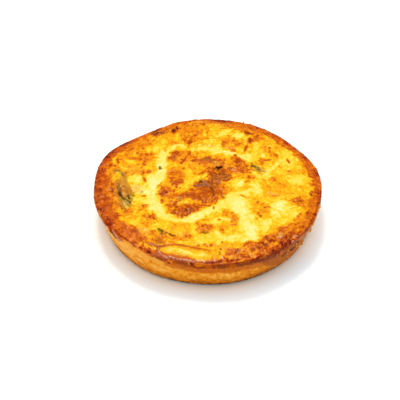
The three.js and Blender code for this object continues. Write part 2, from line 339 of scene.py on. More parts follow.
# Broad patches, painted in this order: the tone, then ovals in places u, v.
PATCHES = [
    # Behind.
    ("orange", (-8, 47, 9, 11), (-20, 50, 9, 4.5, 30), (20, 51, 13, 5, 155), (13, 38, 8, 5, 160)),
    ("gold", (-21, 41, 6, 5), (-33, 38, 5, 4, 30), (29, 36, 7, 6), (7, 40, 4, 4)),
    ("yellow", (-28, 31, 3, 2.5, 60), (-25, 36, 4, 1.6, 80), (-17.6, 40, 4.5, 1.1, 92), (3, 37, 4, 3.5, 60),
     (10, 46, 5, 2.6, 40), (17, 43.5, 3.6, 2.6), (35, 31, 4, 1.8, 70), (27, 31, 7, 2, 75), (24, 24, 4, 4),
     (-1.5, 46, 1.2, 3)),
    ("pale", (10.5, 46.5, 5.5, 1.2, 42), (17, 43.5, 3, 1.4, 10), (3, 26.5, 2.4, 1.6, 20),
     (23, 25, 4.5, 0.9, 110)),
    # At the left.
    ("orange", (-40, 33, 9, 5, 40), (-45, 24, 4, 5, 45), (-42, 10, 5, 4), (-34, 24, 5, 5),
     (-52, -7, 11, 3.6, 90), (-50, -20, 7, 4, 90), (-53, 10, 9, 3.5, 80), (-48, -10, 14, 4, 85),
     (-31, -28, 7, 6), (-38, -22, 5, 4)),
    ("gold", (-42, 16, 6, 4), (-38, 9, 6, 4), (-37, -29, 4, 4), (-34, -22, 4, 3)),
    ("yellow", (-42, 19.5, 4.5, 1.1, 155), (-45.5, 13, 2.5, 1.2, 150), (-38.5, 4, 4.5, 4), (-33, 30, 1, 3),
     (-36, -13, 6, 8, 90), (-38, -31, 3, 2.6, 60), (-26, -33, 3, 4)),
    ("pale", (-38, 4, 3, 2.6), (-29.5, 3, 5, 5.5), (-33, -6, 4, 4), (-31, -16, 7, 3, 100)),
    # At the right.
    ("orange", (36, 26, 7, 2.5, 115), (50, 12, 5, 4, 90), (41, 39, 10, 3.6, 130), (51, -15, 4, 8, 80),
     (46, -26, 3.5, 4.5, 60), (22.5, 4.6, 4, 3, 20), (28.5, 42, 4, 3, 90), (38, 26, 4, 1.6, 110),
     (35, 4, 3, 2, 20)),
    ("gold", (41, 30, 6, 5, 60), (47, 9, 4, 6, 90), (30, 8, 4, 6)),
    ("yellow", (43, 24, 7, 4.5, 60), (45, 15, 7, 5, 60), (48, 4, 5, 5), (41, -24, 9, 4.5, 70),
     (32, 10, 9, 3, 65)),
    ("pale", (36, 14.5, 9, 1.5, 52), (31, 25, 2, 1, 90), (48, 3, 2.6, 3.5, 80), (34.5, -20, 8.5, 3.2, 75),
     (38, -17, 4, 2.4, 30), (28, -34, 6, 2.6, 40), (26, 9, 4, 0.9, 110), (24.5, -3, 6, 2.2, 95)),
    ("gold", (36, -4, 6.8, 5.8, 20), (46, 10, 3, 2, 30)),
    # In front.
    ("orange", (-19, -42, 13, 5, 5), (-2, -35, 5, 5)),
    ("gold", (0, -48, 9, 3.4), (-14, -37, 9, 5, 5), (6, -38, 4, 4), (3, -44, 6, 3), (28, -20, 6, 4, 80),
     (11, -26.5, 3, 3)),
    ("yellow", (-7.5, -36, 6, 1.6, 95), (22, -34, 9, 5.5, 110), (8, -42, 11, 3.6, 5), (-3, -44, 4, 4),
     (0.5, -31, 3, 1.4), (-13, -46, 3, 1)),
    ("pale", (20, -34, 9, 5, 110), (16, -42.5, 9, 2.8, 10), (30, -34, 4, 2, 70), (5, -29, 4, 2.2, 20),
     (5, -40, 3, 1.2, 100)),
    ("cream", (16, -18, 12, 5.4, 98), (13, -4, 5, 4, 60), (18, 1.5, 3.4, 1.8, 70), (22, -38, 7, 3, 112),
     (36.5, -18, 4, 3.4, 30)),
    ("pale", (8, -17.5, 4.6, 2.4, 15), (20, -9, 4.4, 2.6, 60), (26.6, -4, 5.5, 1.8, 95)),
    ("gold", (25.5, -19, 6.5, 2.6, 80), (20.8, -1.8, 2.6, 1.6, 80)),
    # The browned middle.
    ("orange", (-9, 22, 13, 8, 165), (1, 14.5, 10, 9, 60), (-4, -8, 20, 7.5, 12), (-14, -17, 9, 9, 20),
     (13, 13, 11, 9, 70), (-17, 6, 6, 8), (-24, -5, 4.6, 5), (0, -14, 8, 4, 20)),
    ("gold", (-9, 14, 7, 5, 110), (-20, -12.5, 4, 2.6), (-11.5, -15, 5, 3.2, 20), (-22.5, 0.5, 4, 3, 30),
     (-15, 15, 3, 3), (-4, 26.5, 5, 2, 170), (12.5, 19, 2.6, 2.4), (16, 6.5, 4, 2.4, 20),
     (9, 24, 5, 2.4, 170)),
    ("yellow", (-12, -1, 6.5, 2.2, 60), (-5, 5, 6, 1.5, 25), (-12.4, -15, 2, 1.4, 60), (-10, 10, 4, 2, 120),
     (14, 3, 5, 1.4, 10)),
    ("toast", (-19, 26, 3, 4), (1, 20.5, 6, 2.2), (8, 7.5, 5, 7), (18, 12, 3, 4), (-3, -7, 11, 5, 14),
     (-18, 7, 2, 3.6, 30), (-15.5, 3, 3.4, 2.4, 140), (-11, -21, 7, 5, 20), (-24, -5, 4, 3.6),
     (0, -12, 6, 5, 20), (17, 21.5, 2.2, 5.5, 10), (3, -2, 4.5, 8), (-17, -10, 5, 2), (4, 8, 5, 6, 60),
     (-16.5, 0, 2.5, 4)),
    ("brown", (-4, -8.5, 9, 3, 14), (3, -2, 3, 5), (-10, -21, 3.4, 4), (-2.5, -0.5, 5, 2.4, 170),
     (7, 7, 3, 4.5), (-16, 1.6, 2.4, 1.8, 140), (-18.6, 5, 1.6, 1.2, 60), (17.3, 20.5, 3.6, 1.3, 100),
     (18.8, 11.5, 1.3, 2.6, 10)),
    ("yellow", (-7, 5.8, 5, 0.8, 25), (-1.5, 7.5, 2, 0.9, 60)),
]

# The middle of the pale ring round the browned middle: u, v, and half the ring's width there.
RING = [
    (24.5, 20.5, 0.6), (20.5, 23.5, 1.1), (17, 26.4, 1.1), (12.5, 27.6, 1.4), (8, 29.3, 1.7), (3, 30.8, 2.2),
    (-1.5, 31.8, 1.8), (-5, 30.6, 1.0), (-8, 30.2, 1.0), (-11, 32, 0.8), (-14, 34.2, 0.9), (-17.5, 34.4, 0.8),
    (-20.5, 32, 0.9), (-23.5, 28.5, 2.0), (-25, 24, 2.8), (-25.3, 18, 3.0), (-25, 12, 2.6), (-27, 5, 3.6),
    (-29.5, -1, 3.2), (-31, -6, 2.6), (-29, -12, 2.4), (-27, -17, 2.4), (-25, -22.5, 2.4), (-21, -26.8, 2.1),
    (-15.5, -29.3, 1.7), (-10, -29.8, 2.0), (-6, -26.3, 3.0), (-1, -22.5, 3.0), (5, -19, 2.8),
    (10.5, -15, 3.4), (14, -10, 3.4),
]

# Smaller marks, painted over the patches and the ring, in the same way as the patches.
MARKS = [
    # Behind.
    ("orange", (-20, 36.5, 4, 1.6, 10), (-8, 43, 6, 5), (-5, 53, 6, 3)),
    ("toast", (-9, 38, 3, 2.4), (14, 31, 2.8, 1.6, 120), (21.6, 31.5, 3.2, 1, 75), (28, 42.5, 2.6, 1, 60),
     (38.3, 25, 3, 1, 110), (35, 32.3, 1, 0.8), (22, 49, 4, 1.6, 100), (-25, 47.5, 3, 2, 40),
     (9, 36, 3, 1, 80)),
    ("brown", (-29.8, 44.8, 2.4, 1.7, 140), (-12, 54.5, 1, 2, 30), (24.2, 39.4, 2.1, 2.4),
     (23.6, 46, 2.8, 1.1, 165), (-1.8, 56, 1, 0.7), (11.5, 57.5, 3, 1.4, 160)),
    ("dark", (24, 39.8, 1.4, 1.5), (23.4, 46.2, 1.9, 0.7, 165), (-10.3, 57.6, 0.7, 1.2),
     (-30.4, 45, 1, 1.5, 20), (-28.8, 45.8, 0.9, 1.1), (22.9, -46.8, 0.7, 0.6)),
    ("char", (-19.3, 48.6, 1.4, 2.3), (-17.4, 51.3, 1.0, 1.5)),
    # At the left.
    ("toast", (-51.6, -8, 9, 2, 90), (-40.8, 22, 2, 1.5), (-33.8, 25, 0.8, 2.8), (-39, 27.5, 1, 1),
     (-36.2, 14.6, 0.8, 1.3), (-34.2, 4, 3, 0.9, 110), (-35, 10.5, 0.8, 1.8), (-33, -18, 2, 1.7),
     (-34, -10, 1.4, 1), (-35, 18, 1.4, 2), (-29.5, -27, 2, 1.6), (-33, -26, 1.4, 1.2),
     (-24.5, -45, 2.2, 1.8), (-27.5, -38, 1.4, 2)),
    ("brown", (-32.2, 11, 1.3, 1.7), (-49.5, 20.5, 2.8, 0.9, 100), (-51, 16, 0.7, 0.7),
     (-47, -25, 2, 1.6, 20), (-35.5, 8, 0.8, 1.2), (-53, 17, 1.6, 0.7, 70), (-42, 31, 1.4, 0.6, 60),
     (-36, 31.5, 1.2, 0.6, 100)),
    # At the right.
    ("orange", (47, -12.4, 2.8, 3)),
    ("toast", (47.8, -13.8, 1.5, 1.1), (46.6, -11.2, 0.8, 1), (48.6, -15, 0.5, 0.5), (30, 20, 1.4, 3),
     (22.3, 5.6, 0.9, 0.9), (19, 5.4, 0.7, 0.7), (44, 11, 0.9, 0.8), (26, -24.5, 1.8, 0.8, 110)),
    ("brown", (55, 20.5, 1.2, 1.2), (54.6, -8.6, 1.1, 1.7), (55, 8, 0.6, 1.6), (57, 14.5, 0.7, 1)),
    ("dark", (27.2, -26, 0.5, 0.7), (36, 3.8, 0.5, 0.4)),
    ("brown", (44.5, 20, 0.7, 2.2, 20), (33.4, 21, 0.7, 2, 100)),
    # In front.
    ("orange", (10, -24, 3.4, 1.8, 20), (7, -36.5, 3, 1.2, 100), (5.6, -28.8, 1, 1),
     (34.6, -9.8, 2, 0.9, 12)),
    ("gold", (13.4, -27.5, 3.6, 1.9, 90)),
    ("orange", (12.8, -26.5, 1.6, 0.6, 60), (13.4, -29, 1, 0.6, 100)),
    ("toast", (6.9, -46, 0.6, 0.9, 10), (-2, -48, 0.9, 1.2), (8.4, -22.4, 1.3, 0.8, 30),
     (12.6, -23.6, 0.9, 0.8), (12, -30.4, 1.1, 0.6, 10), (13, -32.8, 1.6, 0.6, 5), (-8.8, -41.4, 0.5, 0.6)),
    ("orange", (-11.2, -40.8, 2, 1.3, 50), (-8.6, -41.4, 1.2, 1, 120)),
    ("brown", (-2.8, -33.8, 1, 0.9), (1.3, -48, 0.8, 1), (18.6, -10, 2.2, 0.6, 145), (3, -19.4, 0.5, 1.4),
     (-5.2, -48.5, 1, 0.6, 30), (15, -51.5, 1.2, 1.2)),
    ("dark", (6.2, -51, 0.6, 0.6)),
    # In the middle.
    ("toast", (-20.5, -17, 0.9, 0.9), (-24, -14, 1.1, 1.4), (13.6, 23, 0.9, 1.2), (9, 21.4, 0.9, 0.9)),
    ("brown", (-13, 21, 2.4, 1, 70), (-8, 20.4, 1, 1.2), (-10.2, 27.4, 0.9, 1.3), (-18, 28.5, 1.3, 1.2),
     (-19, 24, 1.4, 1), (-17, -15, 1.2, 1.8), (-19, -14, 0.7, 0.9), (-16.3, -18.5, 1.1, 1),
     (-18, -5.6, 0.7, 1.3), (-24.7, -5.2, 0.9, 0.9), (-24.6, -8, 0.8, 0.8), (-6.4, -18.8, 1.2, 1),
     (0.2, -18, 1.2, 0.8), (7, 21, 0.7, 1), (15.5, 25.4, 1.1, 1.2), (20.6, 15, 1.2, 0.9),
     (-9, -4.6, 1.1, 1.2), (-13, 13.6, 0.8, 0.7), (-6.5, 21, 0.9, 0.9), (-17.5, -24, 2, 0.7, 170),
     (12.5, 13.4, 1.5, 1.4), (10.5, 3.6, 1.4, 1)),
    ("dark", (-22.7, -6.5, 1.3, 1.5), (-14.6, 18.2, 0.6, 0.7), (-16.8, -2.4, 0.8, 0.6, 120),
     (-14.7, -3, 0.5, 0.7), (-16, 1.2, 0.8, 1), (17.6, 19.3, 0.8, 0.9), (19.4, 11.8, 0.6, 1.3),
     (-7, -1.6, 0.7, 0.7)),
    ("brown", (-4.6, -8, 0.8, 1.3), (-7.4, -12, 0.7, 1.2), (-2.6, -14.2, 1.3, 0.5, 120), (-23, -9, 0.6, 0.7),
     (12.5, 13.2, 0.9, 0.7), (10.2, 6.2, 0.9, 0.7), (13, 5.6, 0.5, 0.5), (-11.2, -25.6, 1.2, 0.8)),
]

# Places that have gone a smoky grey-brown: ovals, then how much.
SMOKY = [
    (-28.5, 46.5, 4.5, 3, 40, 0.7), (1, 21, 6, 1.6, 170, 0.7), (7, 6, 5, 6, 90, 0.55),
    (-2, 0, 4.5, 2, 160, 0.6), (-33, -38, 5, 3.4, 0, 0.45), (9, 58.5, 7, 1.5, -10, 0.5),
    (-46, 37, 4, 2, 45, 0.5), (-53, 28, 3.4, 1.6, 60, 0.4), (15, -51.5, 2, 1.4, 0, 0.6),
    (-41, 12, 6, 5, 0, 0.25), (36.5, -40, 2, 1.4, 0, 0.5),
]

# Colours of the vegetables and of other small things as they show, and the colours of painted highlights,
# glints and shade.
PAINTS = {
    "char": (20, 6, 2), "swamp": (78, 48, 2), "soil": (94, 34, 6), "soot": (104, 66, 8),
    "umber": (146, 76, 18), "rust": (188, 100, 20), "plum": (146, 82, 44), "lilac": (180, 118, 82),
    "grey": (166, 134, 76), "body": (202, 129, 34), "bronze": (160, 104, 14), "amber": (218, 150, 44),
    "tan": (202, 146, 64), "beige": (226, 164, 84), "olive": (130, 96, 22), "leaf": (98, 86, 20),
    "moss": (182, 138, 36), "mustard": (180, 138, 8), "straw": (206, 168, 84), "pith": (230, 198, 112),
    "honey": (250, 200, 78), "cream": (248, 220, 138), "wine": (126, 22, 0), "russet": (178, 78, 28),
    "rosewood": (182, 110, 74), "smear": (124, 54, 20), "brick": (172, 84, 18), "clay": (218, 106, 34),
    "sienna": (204, 104, 12), "ember": (212, 98, 12), "tawny": (222, 118, 10), "crust": (244, 162, 56),
    "rose": (222, 158, 124), "blush": (246, 206, 178), "apricot": (250, 176, 66),
}

# What is finer than the patches: the vegetables' colours and ridges, the lines and streaks of the rim, and
# painted glints, highlights and shade on all of these. In the order of painting: the paint, half the width,
# how strongly it covers, how high it stands, and its route in places u, v.
STROKES = [
    # The leek: its body, then its flanks, layers and frayed end. Its pale grey and beige streaks are painted
    # highlights, and its darkest olive and brown creases are its own dark layers deepened by painted shade.
    ("body", 3.2, 0.95, 0, (-46.6, 1), (-45, -3), (-43.4, -8)),
    ("body", 1.6, 0.7, 0, (-48.6, 3), (-47.8, 0)),
    ("amber", 1.9, 0.75, 0, (-46, 5), (-45, 2.4), (-43.4, -1)),
    ("olive", 0.6, 0.85, 0, (-48.4, -1.8), (-47.8, -4.6), (-46.9, -7)),
    # A painted highlight on the leek's left flank.
    ("grey", 0.35, 0.85, 0.15, (-49.2, -2.2), (-48.4, -4.6), (-47.5, -6.6)),
    ("umber", 0.4, 0.8, -0.1, (-47.8, 0.4), (-47.2, -2.6)),
    ("beige", 0.4, 0.8, 0.15, (-46.5, -0.3), (-46.9, -2.4)),
    ("plum", 0.6, 0.9, -0.1, (-46.7, -3.4), (-46.2, -5.8)),
    ("plum", 0.4, 0.7, -0.1, (-44.9, -1.8), (-44.4, -2.6)),
    # A painted highlight.
    ("beige", 0.3, 0.7, 0.15, (-45.4, -3), (-44.9, -4.6)),
    ("rust", 0.7, 0.6, 0, (-43.2, -5.2), (-42.8, -6.8)),
    ("bronze", 0.35, 0.7, 0, (-41.2, -2.6), (-40.8, -5.4), (-40.9, -8)),
    ("tan", 0.6, 0.6, 0.1, (-49.4, -7.6), (-48.8, -9.4)),
    ("moss", 0.45, 0.8, 0, (-40.5, -6.4), (-40.1, -9.6)),
    ("mustard", 0.6, 0.9, 0.1, (-39.7, -8.4), (-39.2, -10.4)),
    ("moss", 1.6, 0.9, 0, (-45, -12.6), (-43, -15), (-41.4, -17.4)),
    ("olive", 1.1, 0.85, 0, (-44, -11.6), (-42.6, -12.8), (-41.6, -13.8)),
    ("moss", 0.6, 0.8, 0.1, (-40.6, -9.8), (-40, -12.4)),
    ("moss", 0.6, 0.9, 0, (-40.1, -12.2), (-40.3, -14)),
    # Dark olive and brown creases: the leek's own dark layers, deepened by painted shade at its left and
    # lower right.
    ("swamp", 1.15, 0.95, -0.3, (-46.9, -7.4), (-46.3, -8.8), (-45.8, -10.4)),
    ("soot", 0.8, 0.95, -0.2, (-46, -10.4), (-45, -11.2), (-44.2, -12)),
    ("soot", 0.5, 0.85, -0.2, (-42.2, -8.8), (-41.9, -10.4)),
    ("swamp", 0.7, 0.95, -0.2, (-42, -10.8), (-41.3, -11.8)),
    ("swamp", 0.5, 0.9, -0.2, (-41.2, -14.8), (-40.7, -15.6)),
    ("beige", 0.8, 0.85, 0.2, (-44.9, -7.5), (-44.3, -8.9)),
    ("tan", 0.9, 0.9, 0.1, (-46.6, -11), (-45.8, -13)),
    ("body", 1.1, 0.9, 0.1, (-46.2, -13), (-45, -17), (-44, -20)),
    ("olive", 0.4, 0.9, -0.1, (-45.4, -11.6), (-43.8, -14.2), (-42.4, -16.6)),
    ("straw", 0.35, 0.85, 0.15, (-43.6, -13.6), (-42.2, -16)),
    ("pith", 0.45, 0.9, 0.2, (-44.4, -14.4), (-43.2, -16.8), (-42.2, -18.9)),
    ("mustard", 0.4, 0.8, 0, (-42.8, -15.6), (-41.2, -18)),
    ("rust", 0.85, 0.9, 0.1, (-43.2, -20), (-42.5, -22.4)),
    ("umber", 0.3, 0.8, -0.1, (-49.2, -14), (-47.5, -15.2), (-46.3, -17)),
    ("umber", 0.45, 0.75, -0.1, (-45.6, -18), (-44.7, -20.6)),
    # The olive stain above it.
    ("moss", 1.2, 0.75, 0, (-50.4, 12), (-48.2, 11.4), (-46.6, 9.4), (-45.6, 7.4), (-45, 5.4)),
    ("bronze", 0.4, 0.4, 0, (-44.6, 3.6), (-43.6, 0.6)),
    ("olive", 0.7, 0.7, 0, (-49.6, 11.8), (-48.8, 11.2)),
    ("olive", 0.5, 0.9, 0, (-46.4, 9.2), (-45.5, 7.4)),
    ("tan", 0.4, 0.6, 0, (-51.7, 10.8), (-51.3, 9.4), (-50.3, 9.2)),
    # The onion slice and a fleck beside it.
    ("honey", 2.3, 0.7, 0.1, (-38.6, -3.4), (-37.4, -5.4)),
    ("cream", 0.4, 0.85, 0.2, (-40.3, -1.6), (-38.2, -1.4), (-36.6, -2.2), (-35.4, -3.8), (-35.6, -5.6),
     (-37.2, -7.4)),
    ("cream", 0.5, 0.7, 0.2, (-40.2, -3.4), (-39.2, -4.8), (-39, -6.2)),
    ("cream", 0.3, 0.6, 0.15, (-35, -1.5), (-34, -4.5), (-34.6, -7.4), (-36.5, -8.8)),
    ("olive", 0.5, 0.6, 0, (-35.1, -6.2), (-35, -7)),
    # Browned mushroom in the middle, round a charred lump, with painted glints on it.
    ("rust", 0.8, 0.65, 0.1, (-4.8, 20.8), (-3.5, 21.4), (-1.5, 21.7), (1, 21.3), (3, 20.2)),
    ("moss", 0.5, 0.6, 0.1, (-1.8, 21.6), (-0.8, 21.3)),
    ("crust", 0.9, 0.6, 0.2, (7.2, 19.2), (6.4, 17.8)),
    ("apricot", 1.1, 0.8, 0.2, (3.8, 19), (4.5, 17.8), (5.3, 17)),
    ("rust", 0.45, 0.8, 0.1, (2, 21), (2.8, 19.4), (3.6, 17.6)),
    ("umber", 0.6, 0.85, 0.2, (2.9, 12.8), (3.8, 13.3), (4.8, 13.8)),
    ("char", 0.9, 1, 0.5, (5.5, 13.9), (6.4, 14.4), (7.2, 14.8)),
    ("char", 1.1, 1, 0.5, (6, 14.5), (6.8, 14.6)),
    ("umber", 0.3, 0.7, 0.1, (7.5, 15.4), (8, 16.8)),
    ("umber", 0.6, 0.7, 0, (5.8, 13), (5.9, 11.4)),
    ("amber", 0.3, 0.5, 0.1, (7.3, 12.4), (6.8, 10)),
    ("umber", 0.45, 0.8, 0.1, (6.5, 9.3), (6.4, 8.2)),
    ("rust", 0.35, 0.7, 0.1, (6.2, 8), (5, 6.8), (3.6, 5.6), (2.6, 5)),
    ("umber", 0.45, 0.7, 0.1, (2.8, 5), (2.4, 3.6)),
    ("plum", 0.5, 0.85, 0.15, (2.5, 3.2), (2.1, 1), (2.2, -1.4)),
    ("umber", 0.3, 0.7, 0.1, (2.4, -1.6), (3.4, -2.6), (4.4, -2.2), (4.8, -1.2)),
    # The amber stroke here, the lilac strokes below and the beige one at the end are painted glints.
    ("amber", 0.45, 0.7, 0.15, (3.8, -0.6), (4.2, -1.3)),
    ("umber", 0.45, 0.8, 0.1, (1.2, -2.4), (2.2, -4.2), (3, -6), (2.8, -8), (2.9, -10)),
    ("umber", 0.6, 0.75, 0, (9.6, 5.8), (11, 6)),
    ("lilac", 0.9, 0.75, 0.15, (5.2, 2.8), (6.2, 1.2)),
    ("lilac", 0.7, 0.75, 0.15, (-1.8, 2.4), (-0.8, 1), (0.2, -0.6)),
    ("moss", 0.8, 0.6, 0, (-4.2, 3.6), (-2.8, 4.2)),
    ("soot", 0.85, 0.8, 0.15, (-3.9, 2.6), (-3.7, 1.6)),
    ("plum", 0.95, 0.8, 0, (-6.8, -1.6), (-4.6, -0.6), (-3, -1), (-1.4, -0.6)),
    ("lilac", 0.35, 0.8, 0.1, (-4.8, -1.4), (-4.4, -2)),
    ("lilac", 0.3, 0.9, 0.1, (-2.3, -0.8), (-2.3, -1.8)),
    ("lilac", 0.4, 0.6, 0.1, (-6.7, -3), (-6, -3.6)),
    ("umber", 0.5, 0.8, -0.2, (7.2, -8.8), (8, -10.4), (8.8, -12)),
    ("beige", 0.3, 0.8, 0.2, (7.6, -9), (8, -10)),
    ("rust", 1.3, 0.8, 0, (12.2, 13.6), (12.8, 13.4)),
    # The herb at the right, with painted glints on it.
    ("olive", 0.5, 0.75, 0.1, (24.3, 18.3), (24.6, 16.4)),
    ("leaf", 0.85, 0.95, 0.3, (24.3, 15.4), (25.2, 15.6), (26.3, 15.2)),
    ("leaf", 0.85, 0.85, 0.3, (26.9, 14.7), (27.8, 13.5), (28, 12.2)),
    ("moss", 0.9, 0.85, 0.2, (26.6, 12.4), (27.6, 11.4), (28.4, 10.6)),
    # Painted glints.
    ("straw", 0.35, 0.85, 0.2, (26.5, 16.3), (27.2, 15.1)),
    ("straw", 0.3, 0.6, 0.1, (26.4, 14), (26.9, 13.2)),
    ("straw", 0.75, 0.8, 0.2, (28.8, 13.2), (30, 12), (31.4, 10.8)),
    ("moss", 0.3, 0.6, 0, (29.4, 11.8), (30.6, 10.6)),
    ("rust", 0.45, 0.6, 0, (23.6, 15), (24, 13), (25.2, 11.7)),
    ("rust", 0.5, 0.6, 0, (25.3, 11.9), (25.6, 11.5)),
    ("mustard", 0.5, 0.6, 0, (29.7, 8.8), (29.1, 7.4)),
    # The herb at the left, the leaf and stalk in front with a painted glint on the leaf, the pale herb, and a
    # dark curl with a painted highlight beside it.
    ("leaf", 0.75, 0.9, 0.3, (-26.1, 14.9), (-26, 13.7), (-25.9, 12.9)),
    ("leaf", 0.9, 0.95, 0.35, (-25, -36), (-24.2, -37), (-23.5, -38.2)),
    ("leaf", 0.6, 0.8, 0.2, (-23.4, -37.6), (-22.9, -38.2)),
    # A painted glint on the leaf.
    ("straw", 0.3, 0.8, 0.2, (-22.8, -38.2), (-23.5, -39.4)),
    ("umber", 0.5, 0.8, 0.1, (-24, -39.8), (-22.6, -40), (-21.6, -39.1)),
    ("umber", 0.4, 0.4, 0, (-23.2, -40.8), (-22.8, -42.4)),
    ("umber", 0.45, 0.75, 0.1, (-20.8, -38.5), (-20.6, -38.9)),
    ("umber", 0.3, 0.5, 0.1, (-19.2, -37.4), (-19.1, -38)),
    ("umber", 0.5, 0.9, 0.15, (-19.5, -39.3), (-18.7, -40.5), (-17, -41.2)),
    ("moss", 0.9, 0.5, 0.1, (-4, -38.6), (-1.8, -38.4), (0.2, -38.8)),
    ("olive", 0.5, 0.5, 0.1, (-2.3, -38.3), (-1.3, -38.8)),
    ("straw", 0.7, 0.7, 0.1, (-15.5, -11), (-15, -12.8)),
    ("mustard", 0.6, 0.7, 0.1, (-14.9, -13), (-14.5, -14.6)),
    ("wine", 0.45, 0.8, -0.1, (-11.8, -20.6), (-10.9, -21.4), (-10.3, -22.8)),
    # A painted highlight beside the dark curl.
    ("rosewood", 0.25, 0.8, 0.1, (-11, -19.8), (-10.1, -21.2), (-9.6, -22.8), (-9.5, -24)),
    ("wine", 1.0, 0.6, 0, (-22.7, -6.2), (-22.5, -7)),
    # The pastry that shows below the skin at the front left, the stain below the skin in front, and a painted
    # rosy sheen on the skin at the right.
    ("crust", 1.2, 0.9, 0, (-43.4, -45.4), (-40.8, -46.6), (-38.3, -48.6), (-35.8, -50.9), (-33, -53.6)),
    ("crust", 1.3, 0.9, 0, (-33, -54.2), (-30, -56), (-27, -58.1), (-24, -60.4), (-21.6, -62.2)),
    ("sienna", 1.5, 0.8, 0, (-20, -61.6), (-16, -63.4), (-10, -65), (-4, -66), (2, -66.4)),
    ("sienna", 1.5, 0.8, 0, (2, -66.4), (8, -66.2), (14, -65.2), (20, -63.8), (26, -61.8)),
    ("brick", 2.4, 0.85, 0, (29, -61), (33, -59.6), (37, -56), (41, -52), (44, -48)),
    ("sienna", 0.8, 0.7, 0, (34.6, -61), (39, -56.6), (43.4, -51), (46.6, -46.6)),
    ("smear", 0.8, 0.8, 0, (14, -62.6), (18, -61.6), (21, -60.4), (24.4, -59.6)),
    ("smear", 1.1, 0.85, 0, (25, -59), (28, -57.8), (31, -56.2), (34, -54)),
    ("smear", 1.0, 0.8, 0, (4.6, -63.2), (7.6, -63.4)),
    ("wine", 0.5, 0.8, 0, (25.6, -58.9), (26.6, -58.7)),
    ("wine", 1.0, 0.9, 0, (33, -54), (35, -53.2)),
    ("soil", 0.55, 0.9, -0.2, (45, -45.4), (43.4, -47.4)),
    ("soil", 0.7, 0.95, -0.2, (42.8, -48.8), (40.8, -51.6)),
    ("soil", 0.4, 0.8, -0.2, (38.6, -53), (36.4, -56)),
    # A painted rosy sheen.
    ("rosewood", 0.5, 0.8, 0, (50.8, -35), (48.4, -39.4), (45.8, -43.6)),
    ("wine", 0.6, 0.8, -0.1, (54.6, -8), (54.9, -9.4)),
    ("wine", 0.35, 0.5, 0, (58.6, -4), (58.3, -9)),
    ("wine", 0.35, 0.5, 0, (51, -23), (51.3, -28)),
    ("wine", 0.45, 0.6, 0, (52.6, -28.8), (52.9, -30)),
    # The skin's edge at the right and at the left: a dark line, and a paler strip outside it, with a painted
    # rosy highlight at the left.
    ("wine", 0.45, 0.65, -0.1, (57.6, -16), (55.8, -23), (53, -30), (50.4, -35.4), (46.8, -40.4)),
    ("crust", 0.45, 0.7, 0, (58.4, -17), (56.6, -25), (54.2, -31.4), (52, -36), (49.6, -40.6)),
    ("crust", 0.45, 0.7, 0, (-56.8, -22), (-54.8, -28.6), (-52.8, -33.4), (-50.8, -36.6)),
    # A painted highlight.
    ("rose", 0.4, 0.6, 0, (-53.2, -31.8), (-51.2, -35.6)),
    # The glazed lip in front of the tear, and the dark, glossy rim to its right: the gloss is painted
    # highlights in rose and blush, and the orange band under the tear's lower edge is painted shadow.
    ("ember", 0.7, 0.85, 0.1, (-34, -45.4), (-30, -46.2), (-27, -48), (-24.4, -49.5)),
    ("ember", 0.6, 0.85, 0.15, (-24.6, -49.4), (-20.6, -48.3), (-16, -47.7), (-12, -48.4), (-8, -49.8)),
    ("ember", 0.5, 0.6, 0.1, (-8, -49.8), (-4, -50.9), (0.4, -51.7)),
    ("russet", 1.1, 0.75, 0, (-28, -47.4), (-25, -49), (-22.4, -49)),
    # A painted shadow band under the tear's lower edge.
    ("ember", 0.7, 0.8, -0.1, (-23.4, -53.6), (-20, -54.9), (-15, -55.9), (-10, -57.3), (-6.6, -58.4)),
    ("russet", 0.8, 0.8, 0.1, (-25, -49.6), (-24.9, -51.4), (-24.4, -53.4)),
    ("russet", 1.2, 0.8, 0.1, (-27.4, -54.6), (-22, -56.4), (-16, -58.2), (-9, -60), (-2, -60.4)),
    ("rosewood", 0.6, 0.65, 0.1, (-25, -54.6), (-22.6, -55.8), (-18, -57.3), (-13, -58.5), (-8, -60)),
    ("rose", 0.35, 0.8, 0.1, (-29.6, -46.6), (-27.2, -48.2)),
    ("blush", 0.3, 0.85, 0.2, (-24.4, -52.4), (-24, -53.2), (-23.8, -54)),
    ("rose", 0.35, 0.8, 0.25, (-23, -55.2), (-21.4, -56), (-20.4, -57)),
    ("blush", 0.3, 0.85, 0.3, (-19, -55.9), (-17.9, -56.7), (-16.9, -57.1)),
    ("wine", 0.3, 0.7, -0.1, (-20, -57.3), (-18.6, -57.9), (-17, -58.3)),
    ("rose", 0.4, 0.85, 0.25, (-15.8, -57.2), (-13.6, -58), (-12.2, -58.2)),
    ("blush", 0.25, 0.75, 0.3, (-12, -58.2), (-10.4, -58.8), (-9, -59.2)),
    ("rose", 0.35, 0.7, 0.2, (-8.6, -59.4), (-7, -59.9)),
    ("wine", 0.35, 0.7, -0.1, (-14.6, -59.2), (-12.6, -59.6)),
    ("plum", 0.4, 0.8, 0, (-25.6, -57), (-23, -57.9), (-20.6, -58.4)),
    ("tawny", 0.55, 0.9, 0.3, (-20.2, -59.9), (-19.2, -59.4), (-18.3, -59.8), (-18.1, -60.9)),
    ("wine", 0.5, 0.95, -0.3, (-19.8, -60.5), (-19, -60.8)),
    ("smear", 0.5, 0.6, 0, (-15, -60), (-12.6, -61), (-11, -62.4)),
    ("wine", 0.8, 0.85, -0.2, (-9, -60.8), (-8, -62)),
    ("amber", 0.35, 0.8, 0.1, (-9.8, -60.8), (-9.4, -62)),
    ("tawny", 1.2, 0.95, 0.3, (-5.4, -62.3), (-3.8, -62.2)),
    ("wine", 0.5, 0.85, -0.2, (-7.2, -63.4), (-5.4, -64.3), (-3.2, -64)),
    ("blush", 0.4, 0.85, 0.3, (-5.4, -59), (-4.8, -59.6)),
    ("blush", 0.45, 0.9, 0.3, (-3.4, -58.7), (-2.4, -59.4), (-1.8, -60)),
